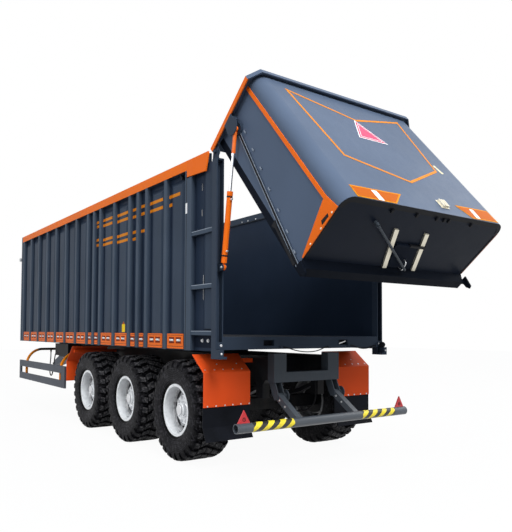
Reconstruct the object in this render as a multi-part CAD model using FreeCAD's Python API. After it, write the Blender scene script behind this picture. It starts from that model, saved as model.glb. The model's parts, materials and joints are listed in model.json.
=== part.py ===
# Push-off semi-trailer with three axles, a ribbed load body and a raised tailgate.
# +Y is the direction of travel, +X its right-hand side, +Z up, all in millimetres.
# The parts are laid out with Y = 0 at the body's rear plane and Z = 0 on the ground.
# The last step moves them so that the origin is the centre of the base of their box.
import FreeCAD
import Part
import math
import os

Vec = FreeCAD.Vector

# Load body
BODY_WIDTH = 2550.0
BODY_LENGTH = 7700.0
BODY_BOTTOM = 1300.0
FLOOR_TOP = 1457.0
RAIL_TOP = 3470.0
RAIL_HEIGHT = 112.0
RAIL_WIDTH = 95.0
WALL_THICKNESS = 80.0
FLOOR_SKIN = 27.0
BEARER_WIDTH = 80.0
STRINGER_WIDTH = 120.0
STRINGER_REAR = 1900.0
HALF_WIDTH = BODY_WIDTH / 2
WALL_INNER = HALF_WIDTH - WALL_THICKNESS
SEAT_GAP = 0.3

# Ribbed side walls
RIB_COUNT = 14
FIRST_RIB = 647.0
LAST_RIB_INSET = 163.0
RIB_PITCH = (BODY_LENGTH - LAST_RIB_INSET - FIRST_RIB) / (RIB_COUNT - 1)
RIB_WIDTH = 66.0
RIB_ROOT = 90.0
SWAGE_SLOPE = 95.0
PANEL_RECESS = 60.0
SWAGE_RISE = 30.0
SWAGE_MARGIN = 18.0
SWAGE_END = 60.0
SWAGE_END_SLOPE = 70.0
LOWER_ZONE_TOP = 1490.0
POST_BAYS = (2, 5)
FRONT_POST = 120.0

# Tie-down panels between the ribs
TIE_PANEL_LOW = 1312.0
TIE_PANEL_HIGH = 1486.0
TIE_PANEL_THICKNESS = 20.0
TIE_PANEL_MARGIN = 24.0
TIE_SLOT_LENGTH = 110.0
TIE_SLOT_HEIGHT = 34.0

# Rear bay, posts and sill
STILE_WIDTH = 110.0
BAY_PLATE = 18.0
BAY_SWAGE = 24.0
BAY_SWAGE_RUN = 190.0
BAY_SWAGE_TOE = 80.0
POST_DEPTH = 90.0
POST_WIDTH = 93.0
POST_BOTTOM = 1224.0
POST_WEB = 28.0
POST_FLANGE = 16.0
POST_INNER_FLANGE = 12.0
POST_CAP = 18.0
STEP_HEIGHTS = (1496.0, 2005.0, 2608.0)
STEP_THICKNESS = 46.0
STEP_INSET = 8.0
COVER_PLATE = 16.0
COVER_DROP = 205.0
COVER_REAR = 230.0
COVER_EDGE = 180.0
COVER_SLANT = 50.0
COVER_LIP = 40.0
COVER_RISE = 15.0
SILL_DEPTH = 110.0
SILL_BOTTOM = 1318.0
SILL_SLOT_CENTRE = 572.0
SILL_SLOT_WIDTH = 150.0
SILL_SLOT_HEIGHT = 62.0
CLIP_WIDTH = 28.0
CLIP_DEPTH = 18.0
CLIP_HEIGHT = 26.0
CATCH_DEPTH = 76.0
CATCH_FLOOR = 26.0
CATCH_HEIGHT = 96.0
CATCH_CHEEK = 53.0

# Tailgate, laid out closed and then turned open about its pivot
PIVOT_Y = 116.0
PIVOT_Z = 3457.0
TAIL_OPEN = 41.0
TAIL_SIDE_GAP = 24.0
TAIL_HALF = HALF_WIDTH - POST_WIDTH - TAIL_SIDE_GAP
TAIL_MOUTH = 55.0
TAIL_DEPTH = 855.0
TAIL_REAR = TAIL_MOUTH - TAIL_DEPTH
TAIL_WALL = 30.0
TAIL_CORNER = 125.0
TAIL_BOTTOM = 1576.0
TAIL_FLOOR = 25.0
TAIL_POST_WIDTH = 60.0
TAIL_POST_DEPTH = 80.0
TAIL_BEAM_DROP = 88.0
TAIL_BEAM_BACK = 95.0
TAIL_BEAM_TAPER = 40.0
TAIL_TOP_BEAM = 90.0
HOOD_INSET = 40.0
HOOD_HALF = HALF_WIDTH - HOOD_INSET
HOOD_LOW = 3490.0
HOOD_HEIGHT = 57.0
HOOD_SHEET = 12.0
HOOD_OVERHANG = 43.0
HOOD_CUT_LENGTH = 113.0
HOOD_CUT_WIDTH = 126.0
HOOD_HIGH = HOOD_LOW + HOOD_HEIGHT
HOOD_UNDER = HOOD_HIGH - HOOD_SHEET
HOOD_REAR = TAIL_REAR - HOOD_OVERHANG
ARM_THICKNESS = 12.0
ARM_AHEAD = 30.0
EAR_INSET = 58.0
EAR_THICKNESS = 14.0
EAR_RADIUS = 50.0
EAR_BASE_FRONT = 64.0
EAR_BASE_BACK = 50.0
LUG_INSET = 75.0
LUG_WIDTH = 20.0
LUG_RADIUS = 34.0
PIN_RADIUS = 20.0
PIN_REACH = 35.0
RUNNING = 0.05

# What stands on the tailgate's sides and bottom
SIDE_RIB_DEPTH = 11.0
SIDE_RIB_WIDTH = 46.0
SIDE_RIB_TOP_Y = -300.0
SIDE_RIB_LOW_Y = 6.0
STRIP_REAR = -645.0
STRIP_WIDTH = 40.0
GUSSET_HEIGHT = 190.0
GUSSET_TIP_Y = -86.0
GUSSET_THICKNESS = 8.0
HOOK_INSET = 70.0
HOOK_THICKNESS = 20.0
HOOK_TIP_Z = 1400.0
HOOK_ROOT_DROP = 36.0
HOOK_BACK = -84.0
HOOK_FRONT = -12.0

# Grain hatch in the tailgate's bottom, between two slanted guides
HATCH_FRONT_Y = TAIL_MOUTH - TAIL_BEAM_BACK - TAIL_BEAM_TAPER - SEAT_GAP
HATCH_REAR_Y = -551.0
GUIDE_HALF_GAP = 218.0
GUIDE_CENTRE = 103.0
GUIDE_SLANT = 220.0
GUIDE_WIDTH = 56.0
GUIDE_THICKNESS = 22.0
HATCH_HALF = 155.0
HATCH_OPENING_REAR = -390.0
HATCH_OPENING_FRONT = -110.0
HATCH_THICKNESS = 8.0
LEVER_RADIUS = 13.0
LEVER_STAND = 62.0

# Tailgate cylinders
CYL_LOW_Y = -40.0
CYL_LOW_Z = 2190.0
CYL_UP_Y = -258.0
CYL_UP_Z = 3330.0
CYL_INSET = 68.0
CYL_PLANE = HALF_WIDTH - CYL_INSET
CYL_EYE_WIDTH = 26.0
CYL_EYE_RADIUS = 30.0
CYL_NECK = 12.5
CYL_NECK_LENGTH = 46.0
CYL_PIN = 13.0
CYL_PIN_SIDE = 10.7
BARREL_RADIUS = 30.0
BARREL_LENGTH = 791.0
COLLAR_RADIUS = 32.0
COLLAR_LENGTH = 44.0
ROD_RADIUS = 15.0
ROD_BASE = 112.0
ROD_SPARE = 20.0
ROD_END_RADIUS = 20.0
ROD_END_LENGTH = 246.0
LUG_PLATE = 8.0
LUG_END = 30.0
LUG_BASE = 45.0
BOSS_RADIUS = 62.0
DISC_RADIUS = 96.0
DISC_DROP = 24.0
DISC_AHEAD = 3.0
DISC_SIDE = 11.0
DISC_FOOT = 0.8

# Chassis
RAIL_CENTRE = 425.0
CHASSIS_RAIL_WIDTH = 140.0
CHASSIS_LOW = 960.0
CHASSIS_HIGH = 1230.0
REAR_FRAME_DEPTH = 120.0
REAR_FRAME_HALF = 497.0
REAR_FRAME_POST = 176.0
REAR_FRAME_LOW = 940.0
REAR_FRAME_BAR = 112.0
REAR_FRAME_TOP = 1264.0
CHASSIS_SHORT = 100.0
CHASSIS_FRONT = BODY_LENGTH - CHASSIS_SHORT
CROSS_WIDTH = 120.0
CROSS_COUNT = 6
CROSS_REAR = 620.0
CROSS_FRONT_INSET = 200.0
CROSS_INSET = 40.0
TANK_RADIUS = 115.0
TANK_HALF = 300.0
TANK_Z = 830.0
TANK_BAYS = (3, 4)
STRAP_X = 200.0
STRAP_WIDTH = 40.0
STRAP_DEPTH = 100.0

# Drawbar, towing eye and parking jack
DRAWBAR_WAIST_AHEAD = 650.0
DRAWBAR_REACH = 1550.0
DRAWBAR_WAIST_Y = BODY_LENGTH + DRAWBAR_WAIST_AHEAD
DRAWBAR_END_Y = BODY_LENGTH + DRAWBAR_REACH
DRAWBAR_ROOT_TOP = 120.0
DRAWBAR_ROOT_LOW = 150.0
DRAWBAR_WAIST_HALF = 125.0
DRAWBAR_END_HALF = 80.0
DRAWBAR_END_LOW = 640.0
DRAWBAR_END_HIGH = 790.0
EYE_FLANGE = 30.0
EYE_SHANK = 70.0
EYE_SHANK_RADIUS = 34.0
EYE_RADIUS = 62.0
EYE_BORE = 25.0
EYE_THICKNESS = 34.0
JACK_X = 430.0
JACK_AHEAD = 260.0
JACK_Y = BODY_LENGTH + JACK_AHEAD
JACK_TUBE = 120.0
JACK_WALL = 9.0
JACK_CAP = 20.0
JACK_TOP = 1270.0
JACK_LOW = 430.0
JACK_BRACKET_LOW = 1010.0
JACK_BRACKET_HIGH = 1180.0
JACK_BRACKET_DEPTH = 90.0
JACK_LEG = 100.0
JACK_FOOT = 280.0
JACK_FOOT_THICKNESS = 20.0

# Wheels, axles and springs
TYRE_RADIUS = 592.0
TYRE_WIDTH = 500.0
TYRE_TREAD_INSET = 62.0
TYRE_SHOULDER_INSET = 22.0
TYRE_SHOULDER = 560.0
TYRE_SIDE = 440.0
TYRE_HEEL_INSET = 20.0
TYRE_HEEL = 330.0
RIM_FLANGE = 306.0
RIM_SEAT = 286.0
RIM_WALL = 12.0
RIM_FLANGE_WIDTH = 14.0
RIM_WIDTH = 430.0
RIM_INSET = 34.0
RIM_WELL = 30.0
RIM_WELL_START = 150.0
RIM_WELL_END = 250.0
DISC_INSET = 128.0
DISC_THICKNESS = 18.0
DISC_FLAT = 200.0
HUB_RADIUS = 82.0
HUB_CAP = 74.0
HUB_CAP_RADIUS = 58.0
HUB_CAP_BEVEL = 16.0
HUB_FLANGE = 168.0
HUB_FLANGE_THICKNESS = 16.0
DRUM_RADIUS = 205.0
DRUM_LENGTH = 170.0
SPINDLE_RADIUS = 45.0
SPINDLE_REACH = 10.0
REAR_AXLE_Y = 928.0
AXLE_PITCH = 1438.0
AXLE_COUNT = 3
FRONT_AXLE_Y = REAR_AXLE_Y + AXLE_PITCH * (AXLE_COUNT - 1)
AXLE_BEAM = 150.0
BACKPLATE = 14.0
BACKPLATE_GAP = 5.0
BACKPLATE_STEP = 15.0
HANGER_LENGTH = 130.0
HANGER_FLARE = 60.0
HANGER_WIDTH = 100.0
HANGER_LOW = 740.0
HANGER_KNEE = 905.0
REAR_HANGER_BACK = 616.0
SPRING_WIDTH = 84.0
SPRING_THICKNESS = 52.0
SPRING_SEAT = 60.0
SPRING_END_Z = 836.0

# Mudguards and side guards
GUARD_THICKNESS = 8.0
GUARD_WIDTH = 615.0
GUARD_INNER = HALF_WIDTH - GUARD_WIDTH
GUARD_REAR_BACK = 683.0
GUARD_REAR_Y = REAR_AXLE_Y - GUARD_REAR_BACK
GUARD_REAR_LOW = 690.0
GUARD_REAR_CORNER = 1062.0
GUARD_TOP = 1252.0
GUARD_REAR_RUN = 245.0
GUARD_REAR_TOP_Y = GUARD_REAR_Y + GUARD_REAR_RUN
GUARD_FRONT_AHEAD = 916.0
GUARD_FRONT_CORNER_Y = FRONT_AXLE_Y + GUARD_FRONT_AHEAD
GUARD_FRONT_RUN = 290.0
GUARD_FRONT_TOP_Y = GUARD_FRONT_CORNER_Y - GUARD_FRONT_RUN
GUARD_FRONT_CORNER = 1000.0
GUARD_FRONT_LOW = 670.0
STRUT = 50.0
STRUT_DROP = 50.0
STRUT_SHORT = 45.0
FLAP_LOW = 328.0
FLAP_BEND = 470.0
FLAP_KICK = 72.0
FLAP_THICKNESS = 12.0
FLAP_LAP = 40.0
SIDE_RAIL_LOW = 530.0
SIDE_RAIL_HIGH = 905.0
SIDE_RAIL_BAND = 125.0
SIDE_RAIL_THICKNESS = 34.0
SIDE_GUARD_GAP = 110.0
SIDE_GUARD_REAR = GUARD_FRONT_CORNER_Y + SIDE_GUARD_GAP
SIDE_GUARD_POST = 190.0
SIDE_GUARD_END = 90.0
BRACKET_PIPE = 25.0
BRACKET_BEND = 310.0
BRACKET_Z = 1130.0
BRACKET_LOW = 560.0
BRACKET_REAR = 380.0
BRACKET_FRONT = 322.0
BRACKET_FLANGE = 130.0
BRACKET_FLANGE_THICKNESS = 10.0
HOSE_CLIP_X = 730.0
HOSE_CLIP_DROP = 34.0

# Box with the brake valves
VALVE_BOX_WIDTH = 260.0
VALVE_BOX_REAR = 5910.0
VALVE_BOX_LENGTH = 760.0
VALVE_BOX_LOW = 1030.0
VALVE_BOX_TOP = 1262.0
VALVE_BOX_CHAMFER = 30.0

# Free cables and hoses, by their radius and the points of their routes (x, y, z)
CABLE_RADIUS = 6.0
BRAKE_HOSE_RADIUS = 9.0
VALVE_HOSE_RADIUS = 11.0
SILL_CABLE_LEFT = (
    (-387.0, -9.0, 1338.0), (-335.0, -9.0, 1338.0), (-262.0, -9.0, 1316.0), (-160.0, -9.0, 1292.0),
    (-40.0, -9.0, 1279.0), (75.0, -9.0, 1281.0), (178.0, -9.0, 1298.0), (260.0, -9.0, 1331.0),
    (312.0, -9.0, 1331.0))
SILL_CABLE_RIGHT = (
    (672.0, -9.0, 1350.0), (720.0, -9.0, 1350.0), (790.0, -9.0, 1326.0), (880.0, -9.0, 1307.0),
    (970.0, -9.0, 1306.0), (1045.0, -9.0, 1321.0), (1100.0, -9.0, 1341.0), (1138.0, -9.0, 1341.0))
BRAKE_HOSE = (
    (200.0, 95.0, 940.0), (200.0, 95.0, 880.0), (214.0, 104.0, 800.0), (231.0, 125.0, 715.0),
    (236.0, 165.0, 640.0), (226.0, 230.0, 580.0), (212.0, 320.0, 540.0), (203.0, 430.0, 524.0),
    (199.0, 545.0, 534.0), (198.0, 660.0, 563.0), (200.0, 768.0, 592.0), (200.0, 853.0, 592.0))
VALVE_HOSE = (
    (-730.0, 7378.0, 1071.0), (-730.0, 7378.0, 975.0), (-737.0, 7380.0, 865.0), (-750.0, 7374.0, 752.0),
    (-761.0, 7335.0, 655.0), (-770.0, 7258.0, 590.0), (-778.0, 7155.0, 583.0), (-786.0, 7072.0, 640.0),
    (-794.0, 7010.0, 735.0), (-801.0, 6948.0, 829.0), (-807.0, 6885.0, 921.0), (-812.0, 6832.0, 1018.0),
    (-816.0, 6760.0, 1076.0), (-816.0, 6670.0, 1076.0))

# Folding rear bumper
BUMPER_Y = -364.0
BUMPER_Z = 545.0
BUMPER_RADIUS = 50.0
BUMPER_INSET = 13.0
BUMPER_BORE = 120.0
BUMPER_WALL = 8.0
BUMPER_HALF = HALF_WIDTH - BUMPER_INSET
BUMPER_PIVOT_Y = 0.0
BUMPER_PIVOT_Z = 787.0
BUMPER_ARM = 72.0
BUMPER_ARM_X = 430.0
BUMPER_PIN = 18.0
BUMPER_CHEEK = 12.0
LOCK_PLATE_RADIUS = 70.0
LOCK_PLATE_THICKNESS = 10.0
LOCK_PLATE_STAND = 42.0
LOCK_BOSS_RADIUS = 30.0
REFLECTOR_SIDE = 150.0
REFLECTOR_THICKNESS = 14.0
REFLECTOR_INSET = 97.0
REFLECTOR_X = BUMPER_HALF - REFLECTOR_INSET

# Push wall and its telescopic cylinder
PUSH_PARK = 1800.0
PUSH_FACE_Y = BODY_LENGTH - PUSH_PARK
PUSH_TOP_DROP = 170.0
PUSH_TOP = RAIL_TOP - PUSH_TOP_DROP
PUSH_KNEE = 2050.0
PUSH_LEAN = 1150.0
PUSH_PLATE = 60.0
PUSH_CHEEK = 40.0
PUSH_FRAME = 80.0
PUSH_FRAME_BEAM = 100.0
PUSH_FLOOR_GAP = 6.0
PUSH_SIDE_GAP = 6.0
PUSH_CYL_DROP = 310.0
PUSH_CYL_Z = PUSH_KNEE - PUSH_CYL_DROP
STAGES = 4
STAGE_RADII = (100.0, 86.0, 73.0, 60.0, 47.0)
STAGE_STEP_FRONT = 20.0
STAGE_STEP_REAR = 34.0
STAGE_COLLAR = 26.0
STAGE_LIP = 6.0
STAGE_SLIDE = 0.5
STAGE_BLIND = 12.0
BASE_PLATE = 40.0
BASE_HALF = 150.0
FRONT_WALL = 60.0
FRONT_SKIN = 20.0
FRONT_UPRIGHT = 90.0
FRONT_BEAM = 110.0
FRONT_UPRIGHT_X = 620.0
FRONT_BEAM_Z = 2350.0
BARREL_FRONT = BODY_LENGTH - FRONT_WALL - BASE_PLATE


def box(x, y, z):
    """A box from its low and high limits along each axis."""
    return Part.makeBox(x[1] - x[0], y[1] - y[0], z[1] - z[0], Vec(x[0], y[0], z[0]))


def face(points):
    return Part.Face(Part.makePolygon(points + points[:1]))


def prism_x(points, x):
    """An outline of (y, z) points, extruded along X."""
    return face([Vec(x[0], y, z) for y, z in points]).extrude(Vec(x[1] - x[0], 0, 0))


def prism_y(points, y):
    """An outline of (x, z) points, extruded along Y."""
    return face([Vec(px, y[0], z) for px, z in points]).extrude(Vec(0, y[1] - y[0], 0))


def prism_z(points, z):
    """An outline of (x, y) points, extruded along Z."""
    return face([Vec(px, y, z[0]) for px, y in points]).extrude(Vec(0, 0, z[1] - z[0]))


def rod(start, end, radius):
    start = Vec(*start)
    along = Vec(*end) - start
    return Part.makeCylinder(radius, along.Length, start, along)


def join(*shapes):
    return shapes[0].multiFuse(list(shapes[1:])).removeSplitter()


def mirrored(shape):
    return shape.mirror(Vec(0, 0, 0), Vec(1, 0, 0))


def pair(shape):
    """The shape on the right-hand side and its mirror image on the left."""
    return [shape, mirrored(shape)]


def turned(shape, point_y, point_z, degrees):
    """The shape turned about an axis along X: positive lifts what is behind the axis."""
    copy = shape.copy()
    copy.rotate(Vec(0, point_y, point_z), Vec(-1, 0, 0), degrees)
    return copy


def opened(shape):
    return turned(shape, PIVOT_Y, PIVOT_Z, TAIL_OPEN)


def rib_centres():
    return [FIRST_RIB + RIB_PITCH * k for k in range(RIB_COUNT)]


def swage_spans():
    """Rear and front limit of the swage in each bay that has one."""
    ribs = rib_centres()
    margin = RIB_ROOT / 2 + SWAGE_MARGIN
    return [(ribs[k] + margin, ribs[k + 1] - margin) for k in range(RIB_COUNT - 1) if k not in POST_BAYS]


def wall_outline(swaged):
    """Plan outline of the right-hand wall: the ribs, and the swaged or flat panels between them."""
    recess = HALF_WIDTH - PANEL_RECESS
    ridge = recess + SWAGE_RISE
    low = recess if swaged else ridge
    ribs = rib_centres()
    points = [(WALL_INNER, FIRST_RIB)]
    for k, centre in enumerate(ribs):
        if k:
            points.append((low, centre - RIB_ROOT / 2))
            points.append((HALF_WIDTH, centre - RIB_WIDTH / 2))
        else:
            points.append((HALF_WIDTH, FIRST_RIB))
        points.append((HALF_WIDTH, centre + RIB_WIDTH / 2))
        points.append((low, centre + RIB_ROOT / 2))
        if k == RIB_COUNT - 1:
            break
        near = centre + RIB_ROOT / 2 + SWAGE_MARGIN
        far = ribs[k + 1] - RIB_ROOT / 2 - SWAGE_MARGIN
        middle = (centre + ribs[k + 1]) / 2
        if k in POST_BAYS:
            points += [(low, middle - RIB_ROOT / 2), (HALF_WIDTH, middle - RIB_WIDTH / 2)]
            points += [(HALF_WIDTH, middle + RIB_WIDTH / 2), (low, middle + RIB_ROOT / 2)]
        elif swaged:
            points += [(recess, near), (ridge, near + SWAGE_SLOPE)]
            points += [(ridge, far - SWAGE_SLOPE), (recess, far)]
    front = BODY_LENGTH - FRONT_POST
    if ribs[-1] + RIB_ROOT / 2 < front:
        points += [(low, front), (HALF_WIDTH, front)]
    points += [(HALF_WIDTH, BODY_LENGTH - FRONT_WALL), (WALL_INNER, BODY_LENGTH - FRONT_WALL)]
    return points


def side_wall():
    """Ribbed wall with its rear bay: a stile, steps and a recessed plate beside the post."""
    wall_top = RAIL_TOP - RAIL_HEIGHT
    upper = prism_z(wall_outline(True), (LOWER_ZONE_TOP, wall_top))
    lower = prism_z(wall_outline(False), (BODY_BOTTOM, LOWER_ZONE_TOP))
    stile = box((WALL_INNER, HALF_WIDTH), (FIRST_RIB - STILE_WIDTH, FIRST_RIB), (BODY_BOTTOM, wall_top))
    plate_out = WALL_INNER + BAY_PLATE
    plate = box((WALL_INNER, plate_out), (POST_DEPTH, FIRST_RIB - STILE_WIDTH), (BODY_BOTTOM, wall_top))
    bay_front = FIRST_RIB - STILE_WIDTH
    crest = plate_out + BAY_SWAGE
    crest_front = POST_DEPTH + BAY_SWAGE_RUN
    swage = prism_z([(plate_out, POST_DEPTH), (crest, POST_DEPTH), (crest, crest_front),
                     (plate_out, crest_front + BAY_SWAGE_TOE)], (STEP_HEIGHTS[0] + STEP_THICKNESS, wall_top))
    pieces = [upper, lower, stile, plate, swage]
    for height in STEP_HEIGHTS:
        pieces.append(box((WALL_INNER, HALF_WIDTH - STEP_INSET), (POST_DEPTH, bay_front),
                          (height - STEP_THICKNESS / 2, height + STEP_THICKNESS / 2)))
    seat = box((HALF_WIDTH - COVER_PLATE - SEAT_GAP, HALF_WIDTH + 1), (0, FIRST_RIB),
               (RAIL_TOP - COVER_DROP - SEAT_GAP, RAIL_TOP))
    wall = join(*pieces).cut(seat)
    recess = HALF_WIDTH - PANEL_RECESS
    beyond = recess + SWAGE_RISE + 1.0
    end = wall_top - SWAGE_END
    outline = [(recess, wall_top), (recess, end), (beyond, end - SWAGE_END_SLOPE), (beyond, wall_top)]
    for span in swage_spans():
        wall = wall.cut(prism_y(outline, span))
    return wall


def tie_panels():
    """Painted panels between the ribs along the bottom of the wall, each with two slots."""
    base = HALF_WIDTH - PANEL_RECESS + SWAGE_RISE
    made = []
    ribs = rib_centres()
    slot_z = (TIE_PANEL_LOW + TIE_PANEL_HIGH) / 2 + 10.0
    for k in range(RIB_COUNT - 1):
        middle = (ribs[k] + ribs[k + 1]) / 2
        spans = [(ribs[k], ribs[k + 1])]
        if k in POST_BAYS:
            spans = [(ribs[k], middle), (middle, ribs[k + 1])]
        for start, end in spans:
            low = start + RIB_ROOT / 2 + TIE_PANEL_MARGIN
            high = end - RIB_ROOT / 2 - TIE_PANEL_MARGIN
            panel = box((base, base + TIE_PANEL_THICKNESS), (low, high), (TIE_PANEL_LOW, TIE_PANEL_HIGH))
            centres = [(low * 3 + high) / 4 + 14.0, (low + high * 3) / 4 - 14.0]
            if high - low < 2.6 * TIE_SLOT_LENGTH:
                centres = [(low + high) / 2]
            for at in centres:
                panel = panel.cut(box((base + TIE_PANEL_THICKNESS / 2, base + 2 * TIE_PANEL_THICKNESS),
                                      (at - TIE_SLOT_LENGTH / 2, at + TIE_SLOT_LENGTH / 2),
                                      (slot_z - TIE_SLOT_HEIGHT / 2, slot_z + TIE_SLOT_HEIGHT / 2)))
            made.append(panel)
    return made


def top_rail():
    return box((HALF_WIDTH - RAIL_WIDTH, HALF_WIDTH), (FIRST_RIB, BODY_LENGTH - FRONT_WALL),
               (RAIL_TOP - RAIL_HEIGHT, RAIL_TOP))


def hinge_cover():
    """Deeper painted plate that closes the top of the rear bay, in front of the tailgate's pivot."""
    low = RAIL_TOP - COVER_DROP
    outline = [(FIRST_RIB, RAIL_TOP), (FIRST_RIB, low + COVER_RISE), (COVER_EDGE + COVER_SLANT, low),
               (COVER_EDGE, RAIL_TOP - COVER_LIP), (COVER_EDGE, RAIL_TOP)]
    plate = prism_x(outline, (HALF_WIDTH - COVER_PLATE, HALF_WIDTH))
    cap = box((WALL_INNER, HALF_WIDTH - COVER_PLATE), (COVER_REAR, FIRST_RIB),
              (RAIL_TOP - RAIL_HEIGHT, RAIL_TOP))
    return join(plate, cap)


def rear_post():
    """Corner channel, open to the rear, with the tailgate's ear on its cap and the cylinder's lugs."""
    inner = HALF_WIDTH - POST_WIDTH
    top = RAIL_TOP - RAIL_HEIGHT
    web = box((inner, HALF_WIDTH), (POST_DEPTH - POST_WEB, POST_DEPTH), (POST_BOTTOM, top))
    outer_flange = box((HALF_WIDTH - POST_FLANGE, HALF_WIDTH), (0, POST_DEPTH), (POST_BOTTOM, top))
    inner_flange = box((inner, inner + POST_INNER_FLANGE), (0, POST_DEPTH), (POST_BOTTOM, top))
    cap = box((inner, HALF_WIDTH), (0, POST_DEPTH), (top - POST_CAP, top))
    catch = box((inner, HALF_WIDTH), (-CATCH_DEPTH, 0), (POST_BOTTOM, POST_BOTTOM + CATCH_FLOOR))
    cheek = box((HALF_WIDTH - CATCH_CHEEK, HALF_WIDTH), (-CATCH_DEPTH, 0),
                (POST_BOTTOM, POST_BOTTOM + CATCH_HEIGHT))
    ear_x = (HALF_WIDTH - EAR_INSET - EAR_THICKNESS, HALF_WIDTH - EAR_INSET)
    ear = prism_x([(PIVOT_Y - EAR_BASE_BACK, top), (PIVOT_Y + EAR_BASE_FRONT, top),
                   (PIVOT_Y + EAR_RADIUS, PIVOT_Z), (PIVOT_Y - EAR_RADIUS, PIVOT_Z)], ear_x)
    crown = rod((ear_x[0], PIVOT_Y, PIVOT_Z), (ear_x[1], PIVOT_Y, PIVOT_Z), EAR_RADIUS)
    pin_end = HALF_WIDTH - PIN_REACH
    pin_start = HALF_WIDTH - LUG_INSET - LUG_WIDTH - 4.0
    pin = rod((pin_start, PIVOT_Y, PIVOT_Z), (pin_end, PIVOT_Y, PIVOT_Z), PIN_RADIUS)
    pieces = [web, outer_flange, inner_flange, cap, catch, cheek, ear, crown, pin]
    half = CYL_EYE_WIDTH / 2 + SEAT_GAP
    back = POST_DEPTH - POST_WEB
    for low in (CYL_PLANE - half - LUG_PLATE, CYL_PLANE + half):
        high = low + LUG_PLATE
        lug = [(back, CYL_LOW_Z - LUG_BASE), (back, CYL_LOW_Z + LUG_BASE), (CYL_LOW_Y, CYL_LOW_Z + LUG_END),
               (CYL_LOW_Y, CYL_LOW_Z - LUG_END)]
        pieces.append(prism_x(lug, (low, high)))
        pieces.append(rod((low, CYL_LOW_Y, CYL_LOW_Z), (high, CYL_LOW_Y, CYL_LOW_Z), LUG_END))
    reach = half + LUG_PLATE + 4.0
    ends = [(CYL_PLANE + side * reach, CYL_LOW_Y, CYL_LOW_Z) for side in (-1, 1)]
    pieces.append(rod(*ends, CYL_PIN))
    return join(*pieces)


def rear_sill():
    half = HALF_WIDTH - POST_WIDTH
    sill = box((-half, half), (0, SILL_DEPTH), (SILL_BOTTOM, FLOOR_TOP))
    middle = (SILL_BOTTOM + FLOOR_TOP) / 2
    for side in (-1, 1):
        centre = side * SILL_SLOT_CENTRE
        sill = sill.cut(box((centre - SILL_SLOT_WIDTH / 2, centre + SILL_SLOT_WIDTH / 2), (-1, 60.0),
                            (middle - SILL_SLOT_HEIGHT / 2, middle + SILL_SLOT_HEIGHT / 2)))
    clips = []
    for route in (SILL_CABLE_LEFT, SILL_CABLE_RIGHT):
        for end, way in ((route[0], -1), (route[-1], 1)):
            x = sorted((end[0], end[0] + way * CLIP_WIDTH))
            clips.append(box(x, (-CLIP_DEPTH, 0.0), (end[2] - CLIP_HEIGHT / 2, end[2] + CLIP_HEIGHT / 2)))
    return join(sill, *clips)


def body_floor():
    """Floor skin on cross bearers, one under each rib, and two stringers."""
    front = BODY_LENGTH - FRONT_WALL
    skin = box((-WALL_INNER, WALL_INNER), (SILL_DEPTH, front), (FLOOR_TOP - FLOOR_SKIN, FLOOR_TOP))
    pieces = [skin]
    for centre in rib_centres():
        pieces.append(box((-WALL_INNER, WALL_INNER), (centre - BEARER_WIDTH / 2, centre + BEARER_WIDTH / 2),
                          (BODY_BOTTOM, FLOOR_TOP - FLOOR_SKIN)))
    for side in (-1, 1):
        pieces.append(box((side * RAIL_CENTRE - STRINGER_WIDTH / 2, side * RAIL_CENTRE + STRINGER_WIDTH / 2),
                          (STRINGER_REAR, CHASSIS_FRONT), (CHASSIS_HIGH, BODY_BOTTOM)))
    return join(*pieces)


def front_wall():
    """Fixed front wall: a plate with uprights and beams on its outside."""
    back = BODY_LENGTH - FRONT_WALL
    outside = (back + FRONT_SKIN, BODY_LENGTH)
    pieces = [box((-HALF_WIDTH, HALF_WIDTH), (back, back + FRONT_SKIN), (BODY_BOTTOM, RAIL_TOP))]
    half = FRONT_UPRIGHT / 2
    edge = HALF_WIDTH - half
    for x in (-edge, -FRONT_UPRIGHT_X, 0.0, FRONT_UPRIGHT_X, edge):
        pieces.append(box((x - half, x + half), outside, (BODY_BOTTOM, RAIL_TOP)))
    for low in (BODY_BOTTOM, FRONT_BEAM_Z, RAIL_TOP - FRONT_BEAM):
        pieces.append(box((-HALF_WIDTH, HALF_WIDTH), outside, (low, low + FRONT_BEAM)))
    return join(*pieces)


def tail_outline(inset):
    """Plan outline of the closed tailgate: a U with rounded rear corners, inset by a wall."""
    half = TAIL_HALF - inset
    rear = TAIL_REAR + inset
    radius = TAIL_CORNER - inset
    edges = []
    bend = rear + radius
    corner = radius * (1 - math.sqrt(0.5))

    def at(x, y):
        return Vec(x, y, 0)

    edges.append(Part.LineSegment(at(half, TAIL_MOUTH), at(half, bend)).toShape())
    edges.append(Part.Arc(at(half, bend), at(half - corner, rear + corner), at(half - radius, rear)).toShape())
    edges.append(Part.LineSegment(at(half - radius, rear), at(radius - half, rear)).toShape())
    edges.append(Part.Arc(at(radius - half, rear), at(corner - half, rear + corner), at(-half, bend)).toShape())
    edges.append(Part.LineSegment(at(-half, bend), at(-half, TAIL_MOUTH)).toShape())
    edges.append(Part.LineSegment(at(-half, TAIL_MOUTH), at(half, TAIL_MOUTH)).toShape())
    return Part.Face(Part.Wire(edges))


def tail_block(inset, z):
    block = tail_outline(inset)
    block.translate(Vec(0, 0, z[0]))
    return block.extrude(Vec(0, 0, z[1] - z[0]))


def slanted(x_front, half, y, z):
    """A bar under the tailgate that runs with the hatch's slant, from its centre at the front end."""
    run = HATCH_FRONT_Y - HATCH_REAR_Y

    def centre(at):
        return x_front - GUIDE_SLANT * (HATCH_FRONT_Y - at) / run

    return prism_z([(centre(y[0]) - half, y[0]), (centre(y[0]) + half, y[0]),
                    (centre(y[1]) + half, y[1]), (centre(y[1]) - half, y[1])], z)


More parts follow.
